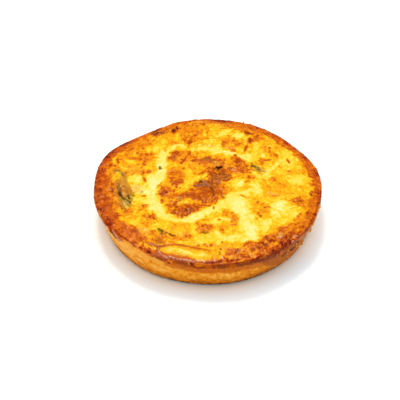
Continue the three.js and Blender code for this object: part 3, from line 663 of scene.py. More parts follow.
    ("wine", 0.9, 0.9, 0, (-1, -60.6), (2, -60.6), (6, -59.8)),
    ("wine", 0.6, 0.85, 0, (9, -58), (9.2, -60)),
    ("wine", 0.6, 0.85, 0, (11.4, -58.8), (15, -58.5)),
    ("wine", 0.45, 0.7, 0, (6, -61.4), (10, -61.4), (14, -60.8), (17, -60)),
    ("wine", 0.55, 0.75, 0, (19, -58.8), (22, -58.2), (24.6, -57.2), (27, -55.6)),
    ("wine", 0.35, 0.6, 0, (15, -60.4), (20, -60), (26, -58.4)),
    ("wine", 0.55, 0.7, 0, (29, -56), (33, -53.4), (36, -51), (39, -48.6)),
    ("blush", 0.35, 0.85, 0.3, (2.9, -58.3), (3.2, -59.6)),
    ("blush", 0.35, 0.85, 0.3, (6.5, -56.6), (7, -57.6)),
    ("rose", 0.35, 0.7, 0.2, (0.6, -58.6), (0.8, -59.8)),
    ("apricot", 0.5, 0.8, 0.2, (20.4, -53.6), (21, -56)),
    ("apricot", 0.4, 0.8, 0.2, (27.8, -52), (28.6, -54.4)),
    ("apricot", 0.4, 0.8, 0.2, (12.8, -56.2), (13.4, -57.6)),
    ("apricot", 0.5, 0.8, 0.2, (15.4, -56), (15.6, -57.6)),
    ("apricot", 0.3, 0.8, 0.1, (23.4, -50), (24.4, -52.4)),
    ("tawny", 0.3, 0.8, 0.1, (36, -53), (35.6, -54.4)),
    # Dark clusters in the front band, with painted glints and a painted pale highlight.
    ("wine", 0.8, 0.85, -0.2, (27.2, -46), (28.6, -48.2)),
    ("wine", 0.6, 0.75, -0.2, (29.8, -43.6), (31, -45.4)),
    ("wine", 0.5, 0.75, -0.2, (21.4, -51.6), (22.6, -51)),
    ("wine", 0.6, 0.7, 0, (14.4, -51), (13.6, -53.4)),
    ("wine", 0.5, 0.75, -0.2, (33, -41.6), (34.6, -43.4)),
    ("wine", 0.6, 0.8, -0.2, (40.6, -43.6), (41.6, -41.4)),
    ("wine", 0.7, 0.85, -0.2, (40.6, -46.6), (41.4, -44.6)),
    ("wine", 0.6, 0.85, -0.2, (38.6, -48.4), (39.4, -46.4)),
    ("wine", 0.9, 0.8, -0.2, (35.4, -50.4), (37, -50)),
    ("wine", 0.5, 0.8, -0.2, (44.4, -42), (45.6, -40)),
    ("ember", 0.8, 0.6, -0.1, (9.6, -54), (12, -54.2)),
    ("clay", 1.2, 0.5, 0.1, (10.4, -51), (13, -51.4)),
    ("rosewood", 0.7, 0.7, 0.1, (14.6, -53.8), (15.4, -52)),
    ("clay", 0.9, 0.6, 0.1, (23.4, -49.4), (24, -48)),
    ("ember", 0.6, 0.8, -0.1, (5.5, -52.8), (5.7, -54.4)),
    # A painted highlight patch, then painted glints.
    ("apricot", 1.0, 0.7, 0.2, (36.4, -40.4), (37.2, -39)),
    ("blush", 0.4, 0.9, 0.2, (35.6, -41.8), (36.6, -42)),
    ("blush", 0.3, 0.85, 0.2, (41.8, -45.6), (42.4, -44.8)),
    ("blush", 0.3, 0.8, 0.2, (43, -42.4), (43.4, -41.4)),
    ("blush", 0.3, 0.8, 0.2, (43.8, -40.6), (44.8, -41.4)),
    # The smudge and the dark slashes at the front left, the slit under the skin painted dark as shade in the
    # gap, and painted rosy highlights beside it and by the leek.
    ("rust", 1.5, 0.7, 0, (-25.2, -43), (-24.6, -45.6)),
    ("wine", 0.6, 0.8, -0.2, (-52.4, -30.6), (-51.4, -32.6), (-49.8, -33)),
    ("wine", 0.5, 0.7, -0.2, (-52.2, -26.4), (-51.2, -28.6)),
    # Painted highlights along the slit's lips.
    ("rose", 0.35, 0.75, 0.2, (-48.7, -37), (-46.6, -40.6), (-45.3, -43)),
    ("rosewood", 1.0, 0.7, 0.1, (-45.2, -42.8), (-44.3, -44.4)),
    # Painted shade in the slit under the skin.
    ("soil", 0.45, 0.95, -0.4, (-49.6, -36.9), (-48.2, -39.6), (-46.5, -42.6)),
    ("wine", 0.5, 0.8, -0.1, (-47.6, -36.4), (-45.6, -38.8), (-44.4, -41)),
    ("wine", 0.5, 0.85, -0.1, (-44, -41.2), (-41.4, -43.4), (-40, -45), (-38.4, -46.6), (-36.4, -49)),
    ("wine", 0.6, 0.8, -0.2, (-34.4, -49.4), (-33.4, -50.2)),
    ("wine", 0.55, 0.8, -0.1, (-50.8, -5), (-50.6, -6)),
    # A painted rosy highlight.
    ("rose", 0.4, 0.6, 0.1, (-52.8, -3.2), (-52.4, -4.8)),
]

# The skin's edge band: bearing, spread, width, tone and redness on top, then tone and smokiness outside.
EDGE_BAND = [
    (180, 14, 8.5, 0.725, 0.65, 0.74, 0.1), (-163, 12, 7.6, 0.705, 0.6, 0.76, 0.1),
    (-148, 9, 7, 0.74, 0.7, 0.70, 0.1), (-134, 10, 10, 0.70, 0.7, 0.66, 0.1),
    (-116, 8, 5, 0.72, 0.8, 0.70, 0.2), (-97, 8, 2.8, 0.76, 0.8, 0.76, 0.15),
    (-87, 5, 3.4, 0.72, 0.8, 0.80, 0.15), (-77, 6, 11, 0.58, 0.5, 0.80, 0.1),
    (-64, 8, 10.4, 0.64, 0.6, 0.79, 0.1), (-50, 9, 11.8, 0.68, 0.7, 0.76, 0.1),
    (-33, 8, 8.5, 0.59, 0.3, 0.66, 0.2), (-15, 12, 6.5, 0.64, 0.4, 0.72, 0.2),
    (5, 12, 6, 0.70, 0.6, 0.74, 0.2), (28, 12, 7, 0.69, 0.6, 0.76, 0.2), (50, 12, 6.2, 0.68, 0.5, 0.76, 0.2),
    (75, 12, 7, 0.66, 0.5, 0.74, 0.3), (97, 12, 4, 0.60, 0.3, 0.70, 0.2),
    (120, 12, 4.5, 0.66, 0.6, 0.76, 0.3), (138, 8, 5.5, 0.70, 0.75, 0.76, 0.4),
    (152, 8, 7, 0.74, 0.8, 0.78, 0.4), (167, 8, 6.5, 0.70, 0.7, 0.76, 0.2),
]

# Where the rim itself has browned dark: bearing, spread, and how much.
RIM_MARKS = [
    (155, 6, 0.16), (142, 5, 0.16), (121, 4, 0.14), (103, 3, 0.12), (82, 8, 0.20), (60, 3, 0.10),
    (43, 7, 0.14), (24, 4, 0.12), (10, 3, 0.12), (-8, 4, 0.14), (-25, 5, 0.12), (178, 8, 0.10),
    (-160, 6, 0.10), (-147, 4, 0.14), (-74, 12, 0.08), (-48, 12, 0.10),
]

# The brown ridge along the tear's inner side: places u, v from left to right.
RIDGE = [(-30, -46.2), (-27, -48), (-24.4, -49.5), (-20.5, -48.3), (-16, -47.7), (-12, -48.4), (-8, -49.8),
         (0, -51.6)]
# Streaks in the custard that shows in the tear, the last a darker one just under the ridge that is painted
# shade: the change of tone, half the width, and places u, v.
TEAR_STREAKS = [
    (-0.26, 0.7, [(-18, -51), (-14, -52), (-11, -53.6), (-7, -55.8)]),
    (-0.14, 1.6, [(-8, -56.6), (-4, -55.6), (0.6, -55)]),
    (-0.08, 1.2, [(-23, -51.6), (-19, -51.8)]),
    # Painted shade just under the ridge.
    (0.14, 0.8, [(-15.4, -49.6), (-10, -51.4), (-4, -52), (1, -52.6)]),
]
# The pit at the rim beside the tear, and the soft custard that has welled up behind it: ovals, how much.
PIT = (-29.8, -52.5, 2.2, 0.8, -48)
WELLED = [(-31.6, -47.9, 2.4, 1.5, -35, 1), (-29.6, -49.8, 1.6, 1.2, -60, 1), (-33.4, -46.6, 1.0, 0.8, 0, 1)]

STRAND_TURNS = (0.5, 1.25, 1.9, 2.7)  # the directions in which strands of cheese lie, in radians
STRAND_SEED = 61


def edge_band(theta):
    """The edge band's width, tone, redness, and its tone and smokiness outside, at each bearing."""
    weights = [bearing_bump(theta, band[0], band[1]) + 1e-6 for band in EDGE_BAND]
    total = sum(weights)
    return [sum(w * band[i] for w, band in zip(weights, EDGE_BAND)) / total for i in range(2, 7)]


def along_line(x, y, line, half_width, taper=3.0):
    """1 on a line that runs from left to right, fading out across it and towards its two ends."""
    xs, ys = np.array(line).T
    ends = smoothstep(xs[0] - taper, xs[0] + taper, x) * fade(xs[-1] - taper, xs[-1] + taper, x)
    return bump(y, np.interp(x, xs, ys), half_width) * ends


def beside(x, y, start, end):
    """Distance to the nearest point of the line between two points, and its share of the way along it."""
    (ax, ay), (bx, by) = start[:2], end[:2]
    length = max((bx - ax) ** 2 + (by - ay) ** 2, 1e-9)
    share = np.clip(((x - ax) * (bx - ax) + (y - ay) * (by - ay)) / length, 0, 1)
    return np.hypot(x - ax - share * (bx - ax), y - ay - share * (by - ay)), share


def route_distance(x, y, route):
    """Distance to the nearest point of a route of straight lengths. Where a route's points have a third
    number, half the route's width there, the distance is from its edge, and less than 0 inside it."""
    nearest = np.full(np.shape(x), np.inf)
    for start, end in zip(route[:-1], route[1:]):
        away, share = beside(x, y, start, end)
        if len(start) > 2:
            away = away - mix(start[2], end[2], share)
        nearest = np.minimum(nearest, away)
    return nearest


def brushed(u, v):
    """The strokes' colour at places, as linear red, green and blue times its cover, and the cover, and how
    high the strokes stand."""
    u, v = np.asarray(u, float), np.asarray(v, float)
    colour, rise = np.zeros(np.shape(u) + (4,)), np.zeros(np.shape(u))
    ragged = 0.5 * fractal(u / 1.6, v / 1.6, 65, 2) + 0.25 * noise(u / 0.6, v / 0.6, 66)
    for paint, half, strength, height, *route in STROKES:
        us, vs = np.array(route).T
        reach = half + 1.0
        near = (u > us.min() - reach) & (u < us.max() + reach)
        near &= (v > vs.min() - reach) & (v < vs.max() + reach)
        away = route_distance(u[near], v[near], route) + min(half, 1) * ragged[near]
        soft = 0.2 + 0.25 * half
        cover = strength * fade(half - soft, half + soft, away)
        colour[near] = mix(colour[near], np.array(shown(PAINTS[paint])), cover[:, None])
        rise[near] = mix(rise[near], height, cover)
    return colour, rise


def strands(x, y):
    """Short streaks, as of melted grated cheese, that lie in one of a few directions in each part of the
    top."""
    total, weights = 0, 0
    for number, turn in enumerate(STRAND_TURNS):
        seed = STRAND_SEED + 10 * number
        along, across = x * math.cos(turn) + y * math.sin(turn), y * math.cos(turn) - x * math.sin(turn)
        broad = noise(along / 3.6, across / 1.2, seed + 1)
        fine = noise(along / 2.2, across / 0.75, seed + 2)
        weight = np.exp(3.5 * noise(x / 8, y / 8, seed + 3))
        total = total + weight * (0.6 * broad + 0.4 * fine)
        weights = weights + weight
    return total / weights


def crust(x, y):
    """The lumps of the browned crust, from -1 to 1, their own shades, from -1 to 1, its pits, 0 or 1, and
    brown specks and pale blobs, 1 and -1."""
    warp_x = x + 0.8 * noise(x / 1.7, y / 1.7, 75)
    warp_y = y + 0.8 * noise(x / 1.7, y / 1.7, 76)
    nearest, following, label = cells(warp_x / 2.1, warp_y / 2.1, 77)
    crease = fade(0.02, 0.3, following - nearest)
    lumps = 1 - 1.6 * nearest - 0.8 * crease
    nearest, _, depth = cells(x / 1.9, y / 1.9, 83)
    pits = fade(0.1, 0.32, nearest) * smoothstep(0.5, 0.6, depth)
    nearest, _, kind = cells(warp_x / 1.6, warp_y / 2.2, 89)
    specks = fade(0.12, 0.42, nearest) * (smoothstep(0.62, 0.68, kind) - fade(0.3, 0.36, kind))
    return lumps, 2 * label - 1, pits, specks


def wrinkles(theta, radius):
    """Fine wrinkles in the edge band, from -1 to 1: across it, but along it in front."""
    turned = theta * RIM_RADIUS + 0.9 * noise(theta * 25, radius / 2.5, 58)
    across = 0.6 * noise(turned / 1.5, radius / 3.6, 73) + 0.4 * noise(turned / 0.9, radius / 2.0, 74)
    along = 0.6 * noise(turned / 4.2, radius / 0.9, 71) + 0.4 * noise(turned / 1.8, radius / 0.7, 72)
    return mix(across, 1.4 * along, bearing_bump(theta, -65, 36))


def warped(place, x, y, seed):
    """A place's u or v pushed to and fro, so that what is painted by it frays."""
    return place + 2.4 * fractal(x / 5.5, y / 5.5, seed) + 2.0 * fractal(x / 1.7, y / 1.7, seed + 1, 2)


def paint_ovals(tone, u, v, warp_u, warp_v, fray, patches):
    """The tone with patches painted over it, whose edges are frayed, the small ones' less."""
    for name, *ovals in patches:
        for oval in ovals:
            small = min(oval[2:4])
            wild = min(small / 3, 1) ** 2
            away = oval_distance(mix(u, warp_u, wild), mix(v, warp_v, wild), oval)
            outside = (away - 1) * small + wild * fray
            soft = min(2.4 if TONES[name] < 0.2 else 1.2, 0.5 * small)
            tone = mix(tone, TONES[name], fade(-soft, soft, outside))
    return tone


def torn_tone(x, y, u, v):
    """The tone of the pale custard that shows in the tear."""
    tone = 0.37 + 0.08 * noise((x + y) / 5, (x - y) / 1.8, 46) + 0.06 * noise(x / 2, y, 55)
    for change, half, route in TEAR_STREAKS:
        tone = tone + change * along_line(u, v, route, half, 1.6)
    return tone


def browning(x, y):
    """The tone of the custard's top, how red it is and how smoky, each from 0 to 1."""
    theta, radius, inward = rim_place(x, y)
    u, v = place_of(x, y)
    warp_u, warp_v = warped(u, x, y, 21), warped(v, x, y, 31)
    strand = strands(x, y)
    fray = 1.4 * strand
    tone = paint_ovals(np.full_like(x, BASE_TONE), u, v, warp_u, warp_v, fray, PATCHES)
    ring = route_distance(mix(u, warp_u, 0.6), mix(v, warp_v, 0.6), RING) + 0.8 * fray
    tone = mix(tone, 0.105 + 0.05 * noise(x / 9, y / 9, 62), fade(-1.2, 1.3, ring))
    tone = paint_ovals(tone, u, v, warp_u, warp_v, fray, MARKS)
    # Mottling, streaks, and the crust's own lumps and pits, which only browned places have.
    lumps, shade, pits, specks = crust(x, y)
    darkest = np.maximum(tone, 0.84)
    browned = smoothstep(0.42, 0.66, tone)
    lively = mix(0.6, 1, smoothstep(0.15, 0.4, tone))
    mottle = 0.12 * fractal(x / 3.4, y / 3.4, 51) + 0.12 * fractal(x / 1.2, y / 1.2, 52, 2)
    tone = tone + lively * (mottle + 0.15 * strand * (1 - 0.5 * browned))
    crusty = browned * (0.03 + 0.09 * shade + 0.05 * lumps + 0.16 * pits)
    tone = np.minimum(tone + crusty + 0.20 * specks * smoothstep(0.1, 0.35, tone), darkest)
    # The edge band, browned unevenly, and spotty in front.
    width, band, band_red, _, _ = edge_band(theta)
    ragged = inward + 2.4 * fractal(x / 5, y / 5, 41) + 1.2 * fractal(x / 1.5, y / 1.5, 42, 2)
    edge = fade(0.82, 1.06, ragged / width)
    band = band + 0.115 * fractal(x / 4.2, y / 4.2, 43) + 0.08 * fractal(x / 1.2, y / 1.2, 44, 2)
    spotty = mix(0.15, 1, bearing_bump(theta, -55, 40))
    band = band + spotty * (0.09 * shade + 0.14 * pits) + 0.06 * specks
    band = band + mix(0.10, 0.22, spotty) * wrinkles(theta, radius)
    tone = mix(tone, band, edge)
    # The tear shows the pale custard under the skin, with a browned ridge along its inner side.
    torn = oval_distance(x, y, TEAR) + 0.10 * noise(x / 3, y / 1.5, 45) + 0.08 * noise(x, y / 0.6, 53)
    pale = fade(0.78, 0.98, torn)
    tone = mix(tone, torn_tone(x, y, u, v), pale)
    ridge = along_line(u, v, RIDGE, 0.8) * (1 + 0.3 * noise(x / 1.5, y, 47))
    tone = mix(tone, RIDGE_TONE, np.clip(0.8 * ridge, 0, 1))
    welled = np.clip(in_ovals(warp_u, warp_v, 0.6, 1.3, WELLED), 0, 1)
    pit = fade(0.7, 1.1, oval_distance(u, v, PIT) + 0.25 * noise(x / 0.8, y / 0.8, 48))
    tone = mix(mix(tone, 0.42 + 0.12 * noise(x / 1.2, y / 1.2, 49), welled), PIT_TONE, pit)
    # The rim itself, and what has gone red or smoky.
    edge = edge * (1 - pale) * (1 - welled)
    rim_line = fade(0.3, 1.7, inward + 0.7 * noise(theta * 50, 0, 56))
    marks = sum(much * bearing_bump(theta, bearing, spread) for bearing, spread, much in RIM_MARKS)
    marks = marks * fade(2.0, 4.4, inward + 1.6 * fractal(x / 2.2, y / 2.2, 59))
    tone = tone + 0.06 * rim_line * (1 + noise(theta * 9, 0, 57)) + marks
    smoky = in_ovals(warp_u, warp_v, 0.6, 1.2, SMOKY)
    red = 0.3 * browned * (1 - edge) + band_red * edge + 0.8 * np.clip(ridge, 0, 1) + 3 * marks
    return np.clip(tone, 0, 1), np.clip(red, 0, 1), np.clip(smoky, 0, 1)


def fine_relief(x, y, tone):
    """Relief over the solid's: lumps where it browned, wrinkles along the edge band, and fine grain."""
    theta, radius, inward = rim_place(x, y)
    u, v = place_of(x, y)
    browned = smoothstep(0.45, 0.75, tone)
    lumps, shade, pits, _ = crust(x, y)
    crusty = (0.22 * lumps + 0.10 * shade - 0.35 * pits) * (browned + 0.6 * craggy(theta, inward))
    banded = 0.16 * wrinkles(theta, radius) * fade(5, 11, inward)
    cheese = 0.11 * strands(x, y) * (1 - 0.5 * browned)
    grain = 0.12 * fractal(x / 1.3, y / 1.3, 78, 2)
    ridge = 0.2 * along_line(u, v, RIDGE, 0.7)
    pit = 1.0 * fade(0.5, 1.2, oval_distance(u, v, PIT))
    torn = fade(0.4, 1.1, oval_distance(x, y, TEAR))
    filled = 0.75 * torn * (1 + 0.2 * noise((x + y) / 6, (x - y) / 2.4, 57))
    crinkle = 0.4 * fractal(theta * RIM_RADIUS / 2.2, inward / 3, 79, 2) * bump(inward, 0.8, 1.6)
    rough = (crusty + banded + cheese + grain) * smoothstep(0, 2.0, inward) * (1 - 0.6 * torn)
    return rough + crinkle + ridge + filled - pit


def surface(x, y):
    """Height of the custard's top with all its relief, its tone, redness and smokiness, and the colour that
    is painted on it."""
    tone, red, smoky = browning(x, y)
    colour, rise = brushed(*place_of(x, y))
    return custard_top(x, y) + fine_relief(x, y, tone) + rise, tone, red, smoky, colour


def top_at(x, y):
    return surface(np.asarray(x, float), np.asarray(y, float))[0]


# ---- Meshes ----


def make_piece(name, points, faces, material, slot, replaces=None, **fields):
    """A smooth-shaded piece from points in millimetres, with a vertex attribute for each field: a number,
    or the four numbers of a colour, for each point."""
    mesh = bpy.data.meshes.new(name)
    places = (np.asarray(points, float) + [SHIFT[0], SHIFT[1], 0]) * MM
    mesh.from_pydata(places.tolist(), [], [list(face) for face in faces])
    mesh.shade_smooth()
    for field, values in fields.items():
        values = np.asarray(values, np.float32)
        kind, part = ("FLOAT", "value") if values.ndim == 1 else ("FLOAT_COLOR", "color")
        mesh.attributes.new(field, kind, "POINT").data.foreach_set(part, values.ravel())
    mesh.materials.append(material)
    piece = bpy.data.objects.new(name, mesh)
    bpy.context.scene.collection.objects.link(piece)
    if replaces:
        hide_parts(replaces)
    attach(piece, BODY)
    return piece


def disc_grid(cells_across):
    """A square grid mapped onto the unit disc: share of the radius, bearing, quads, and the loop round it."""
    line = np.linspace(-1, 1, cells_across + 1)
    x, y = np.meshgrid(line, line)
    flat = abs(x) > abs(y)
    with np.errstate(divide="ignore", invalid="ignore"):
        turn = np.where(flat, math.pi / 4 * y / x, math.pi / 2 - math.pi / 4 * x / y)
    turn = np.nan_to_num(turn)
    along = np.where(flat, x, y)
    px, py = (along * np.cos(turn)).ravel(), (along * np.sin(turn)).ravel()
    index = np.arange((cells_across + 1) ** 2).reshape(cells_across + 1, cells_across + 1)
    quads = np.stack([index[:-1, :-1], index[:-1, 1:], index[1:, 1:], index[1:, :-1]], -1).reshape(-1, 4)
    loop = np.concatenate([index[0, :-1], index[:-1, -1], index[-1, :0:-1], index[:0:-1, 0]])
    return np.hypot(px, py), np.arctan2(py, px), quads, loop


def ring_quads(upper, lower):
    """Quads between two closed loops of as many vertex numbers, facing out where both run anticlockwise."""
    return np.stack([upper, lower, np.roll(lower, -1), np.roll(upper, -1)], -1)


def fan(loop, middle):
    """Triangles from a closed loop of vertex numbers to one vertex, facing up where it runs anticlockwise."""
    return np.stack([loop, np.roll(loop, -1), np.full_like(loop, middle)], -1)


def polar(radius, theta, z):
    return np.stack([radius * np.cos(theta), radius * np.sin(theta), z * np.ones_like(theta)], -1)


WALL_LEAN = (RIM_RADIUS - BASE_RADIUS) / RIM_HEIGHT  # how far the outside leans out, per millimetre up
LEAST_FACING = 30  # paint fades where the outward direction leads less far towards the camera


def painted_outside(points):
    """The painted colours on what the camera sees of the outside, which leans out towards its rim."""
    colour, _ = brushed(*sighted(*points.T))
    colour[..., :3] *= TOP_LIGHT / WALL_LIGHT
    radius = np.hypot(points[:, 0], points[:, 1])
    out = np.stack([points[:, 0] / radius, points[:, 1] / radius, np.full(len(points), -WALL_LEAN)], -1)
    facing = np.sum(out * (np.array(CAMERA) - points), -1)
    return colour * smoothstep(0, LEAST_FACING, facing)[:, None]


def skin_look(theta, height, down):
    """Tone, redness and smokiness of the skin outside the rim, by bearing, height and share of the way down:
    mottled, with golden flecks in front and dark slits at the front right."""
    _, _, red, tone, smoky = edge_band(theta)
    turned = theta * RIM_RADIUS
    tone = tone + 0.12 * fractal(turned / 3.0, height / 1.2, 84)
    tone = tone + 0.10 * noise(turned / 1.1, height / 0.7, 85)
    golden = bump(fractal(turned / 2.0, height / 1.5, 86, 2), 0, 0.12) * bearing_bump(theta, -80, 26)
    tone = mix(tone, 0.52, 0.8 * golden * smoothstep(0.1, 0.3, down))
    slits = smoothstep(0.35, 0.6, noise(turned / 4.5, height / 0.9, 87)) * bearing_bump(theta, -45, 16)
    tone = mix(tone, 0.97, 0.85 * slits * bump(down, 0.45, 0.25))
    return tone, red, smoky * smoothstep(0.1, 0.35, down)


DRIP = (-94.6, 2.4)  # the drop that hangs from the rim in front: bearing, spread
HIDDEN_RADIUS = 25  # of the innermost ring of the custard's hidden underside
HIDDEN_LOOK = (0.3, 0, 0)


def custard_mesh():
    """The custard: a fine top, the skin down the outside, and a plain hidden body inside the pastry. Its
    points, its faces, how many of them are the top's, and its fields."""
    share, theta, quads, loop = disc_grid(TOP_CELLS)
    share = mix(share, np.sin(share * math.pi / 2), 0.2)
    jagged = 0.55 * fractal(theta * RIM_RADIUS / 2.2, 0.5, 85, 2) * smoothstep(0.93, 1, share)
    radius = share * skin_radius(theta) + jagged
    x, y = radius * np.cos(theta), radius * np.sin(theta)
    z, tone, red, smoky, colour = surface(x, y)
    around = theta[loop]
    turned = around * RIM_RADIUS
    run = run_edge(around) + 0.4 * noise(around * 55, 0, 81) * (1 - bareness(around))
    rings = []  # radius, height, tone, redness, smokiness
    for row in range(1, SKIN_ROWS + 1):
        down = row / SKIN_ROWS
        height = mix(z[loop], run, down)
        rough = 0.22 * fractal(turned / 2.4, height / 1.6, 82) + 0.12 * noise(turned / 0.9, height / 0.8, 83)
        drip = 0.6 * bearing_bump(around, *DRIP) * bump(down, 0.15, 0.25)
        swell = 0.25 * np.sin(math.pi * down) + drip - 0.55 * smoothstep(0.75, 1, down)
        outside = pastry_outer(around, height) + GAP + SKIN + (rough + swell) * smoothstep(0, 0.25, down)
        rings.append((outside, height, *skin_look(around, height, down)))
    rings.append((pastry_outer(around, run) - 0.15, run - 0.35, 0.7, 0.8, 0))
    rings.append((pastry_outer(around, run) - WALL / 2, run - 0.4, 0.5, 0.5, 0))
    rings.append((pastry_outer(around, WALL / 2) - WALL / 2, WALL / 2, *HIDDEN_LOOK))
    rings.append((HIDDEN_RADIUS, WALL / 2, *HIDDEN_LOOK))

    sides = np.concatenate([polar(ring[0], around, ring[1]) for ring in rings])
    points = np.concatenate([np.stack([x, y, z], -1), sides, [[0, 0, WALL / 2]]])
    numbers = [loop, *(len(x) + np.arange(len(sides)).reshape(len(rings), -1))]
    faces = [quads, *(ring_quads(above, below) for above, below in zip(numbers, numbers[1:]))]
    faces = np.concatenate(faces).tolist() + fan(numbers[-1], len(points) - 1)[:, [0, 2, 1]].tolist()
    looks = [np.stack([tone, red, smoky])]
    looks += [np.stack([field * np.ones_like(around) for field in ring[2:]]) for ring in rings]
    tone, red, smoky = np.concatenate([*looks, np.transpose([HIDDEN_LOOK])], -1)
    skin_colour = painted_outside(sides[: SKIN_ROWS * len(around)])
    bare = np.zeros((len(points) - len(x) - len(skin_colour), 4))
    fields = {"tone": tone, "red": red, "smoky": smoky, "paint": np.concatenate([colour, skin_colour, bare])}
    return points, faces, len(quads), fields


# The slit between skin and pastry at the bare stretch, painted dark as shade in the gap: bearing, spread,
# height, half height, depth.
SLIT = (-141.0, 3.6, 18.7, 0.42, 1.1)


def case_mesh():
    """The pastry case: a fine wall with a crumbly grain, a rounded rim, and a flat underside. Its points, its
    faces and its fields."""
    theta = np.linspace(-math.pi, math.pi, CASE_COLUMNS, endpoint=False)
    turned = theta * RIM_RADIUS
    rim = pastry_rim(theta)
    loops = []  # radius, height, bake

    # The slit is cut into the wall and painted dark there, as shade in the gap.
    def slit(z):
        return bearing_bump(theta, *SLIT[:2]) * bump(z, *SLIT[2:4])

    def bake_and_shade(z, extra=0.0):
        """How dark the pastry shows: mottled, stained under the custard, darker along the foot, partly baked
        browner and partly painted shade where the wall meets the floor, and painted dark as shade in the
        slit.
        """
        mottle = 0.17 * fractal(turned / 4.5, z / 3.0, 91) + 0.22 * fractal(turned / 1.6, z / 1.4, 92, 2)
        stain = fade(0.2, 3.6, run_edge(theta) - z + 0.6 * noise(turned / 4, 0, 98)) * (1 - bareness(theta))
        # Darker along the foot: partly baked browner, partly painted shade where the wall meets the floor.
        foot = 0.36 * fade(0.6, 8.0, z) + 0.5 * fade(0.0, 1.5, z + 0.3 * noise(turned / 3, 0, 99))
        paler = 0.07 * bearing_bump(theta, -135, 28) - 0.03 * bearing_bump(theta, -60, 40)
        return 0.34 - paler + mottle + 0.34 * stain + foot + slit(z) + extra

    def grain(z):
        crumb = 0.20 * fractal(turned / 1.6, z / 1.3, 93) + 0.12 * noise(turned / 0.8, z / 0.7, 94)
        return crumb - SLIT[4] * slit(z)

    # The underside, the corner, the wall, the rounded rim, and the hidden inside.
    for share in (0.2, 0.4, 0.6, 0.8, 0.93):
        radius = share * (pastry_outer(theta, 0) - CORNER)
        x, y = radius * np.cos(theta), radius * np.sin(theta)
        loops.append((radius, 0.12 * (1 + noise(x / 4, y / 4, 95)), 0.5 + 0.15 * noise(x / 3, y / 3, 96)))
    for turn in np.linspace(0, 1, 7):
        angle = turn * math.pi / 2
        rounding = CORNER * (1 - math.sin(angle))
        radius = mix(pastry_outer(theta, 0 * theta) - rounding, pastry_outer(theta, CORNER) - rounding, turn)
        z = CORNER * (1 - math.cos(angle)) * np.ones_like(theta)
        loops.append((radius + grain(z) * turn, z, bake_and_shade(z)))
    for row in range(1, CASE_ROWS + 1):
        z = mix(CORNER, rim - RIM_ROUND, row / CASE_ROWS)
        loops.append((pastry_outer(theta, z) + grain(z), z, bake_and_shade(z)))
    for turn in np.linspace(0.2, 1, 5):
        angle = turn * math.pi / 2
        z = rim - RIM_ROUND + RIM_ROUND * math.sin(angle) + 0.08 * noise(theta * 60, turn, 96)
        radius = pastry_outer(theta, rim) - RIM_ROUND * (1 - math.cos(angle)) + grain(z)
        loops.append((radius, z, bake_and_shade(z, 0.05)))
    inner = pastry_outer(theta, rim) - WALL
    for across in (0.3, 0.6):
        radius = mix(pastry_outer(theta, rim) - RIM_ROUND, inner + RIM_ROUND, across)
        loops.append((radius, rim + 0.1 * noise(theta * 60, across * 3, 97), bake_and_shade(rim, -0.02)))
    for turn in (1, 0.6, 0.2):
        angle = turn * math.pi / 2
        radius = inner + RIM_ROUND * (1 - math.cos(angle))
        loops.append((radius, rim - RIM_ROUND * (1 - math.sin(angle)), bake_and_shade(rim, 0.25)))
    inner_floor = pastry_outer(theta, WALL) - WALL
    loops.append((inner, rim - 2, bake_and_shade(rim, 0.4)))
    loops.append((inner_floor, WALL + CORNER, bake_and_shade(rim, 0.2)))
    loops.append((inner_floor - CORNER, WALL, bake_and_shade(rim, 0.2)))

    rings = np.concatenate([polar(radius, theta, z) for radius, z, _ in loops])
    points = np.concatenate([[[0, 0, 0]], rings, [[0, 0, WALL]]])
    numbers = 1 + np.arange(len(rings)).reshape(len(loops), -1)
    faces = [ring_quads(above, below) for below, above in zip(numbers, numbers[1:])]
    first, last = fan(numbers[0], 0)[:, [2, 1, 0]], fan(numbers[-1], len(points) - 1)[:, [2, 0, 1]]
    faces = first.tolist() + np.concatenate(faces).tolist() + last.tolist()
    bakes = np.concatenate([[0.5], *(tone for _, _, tone in loops), [0.5]])
    return points, faces, {"bake_and_shade": np.clip(bakes, 0, 1), "paint": painted_outside(points)}


# ---- Toppings: strips and lumps that lie on the custard ----


class Pile:
    """Closed shapes gathered into one piece, with fields for every point as in make_piece."""

    def __init__(self):
        self.points, self.faces, self.fields = [], [], []
        self.count = 0

    def add(self, points, faces, **fields):
        self.points.append(points)
        self.faces += [[number + self.count for number in face] for face in faces]
        self.fields.append(fields)
        self.count += len(points)

    def make(self, name, material, slot):
        fields = {field: np.concatenate([each[field] for each in self.fields]) for field in self.fields[0]}
        make_piece(name, np.concatenate(self.points), self.faces, material, slot, **fields)


def rounded(route, steps):
    """Points at even distances along a route whose corners have been cut three times."""
    route = np.asarray(route, float)
    for _ in range(3):
        near, far = route[:-1], route[1:]
        cuts = np.stack([0.75 * near + 0.25 * far, 0.25 * near + 0.75 * far], 1).reshape(-1, 2)
        route = np.concatenate([route[:1], cuts, route[-1:]])
    lengths = np.concatenate([[0], np.cumsum(np.hypot(*np.diff(route, axis=0).T))])
    at = np.linspace(0, lengths[-1], steps)
    return np.stack([np.interp(at, lengths, route[:, axis]) for axis in (0, 1)], -1)


def tube_faces(rings, sides):
    """Faces of a closed tube: point 0 is its start, then the rings, then its end."""
    number = 1 + np.arange(rings * sides).reshape(rings, sides)
    quads = np.concatenate([ring_quads(number[i], number[i + 1]) for i in range(rings - 1)])
    end = fan(number[-1], 1 + rings * sides)[:, [1, 0, 2]]
    return quads.tolist() + fan(number[0], 0).tolist() + end.tolist()


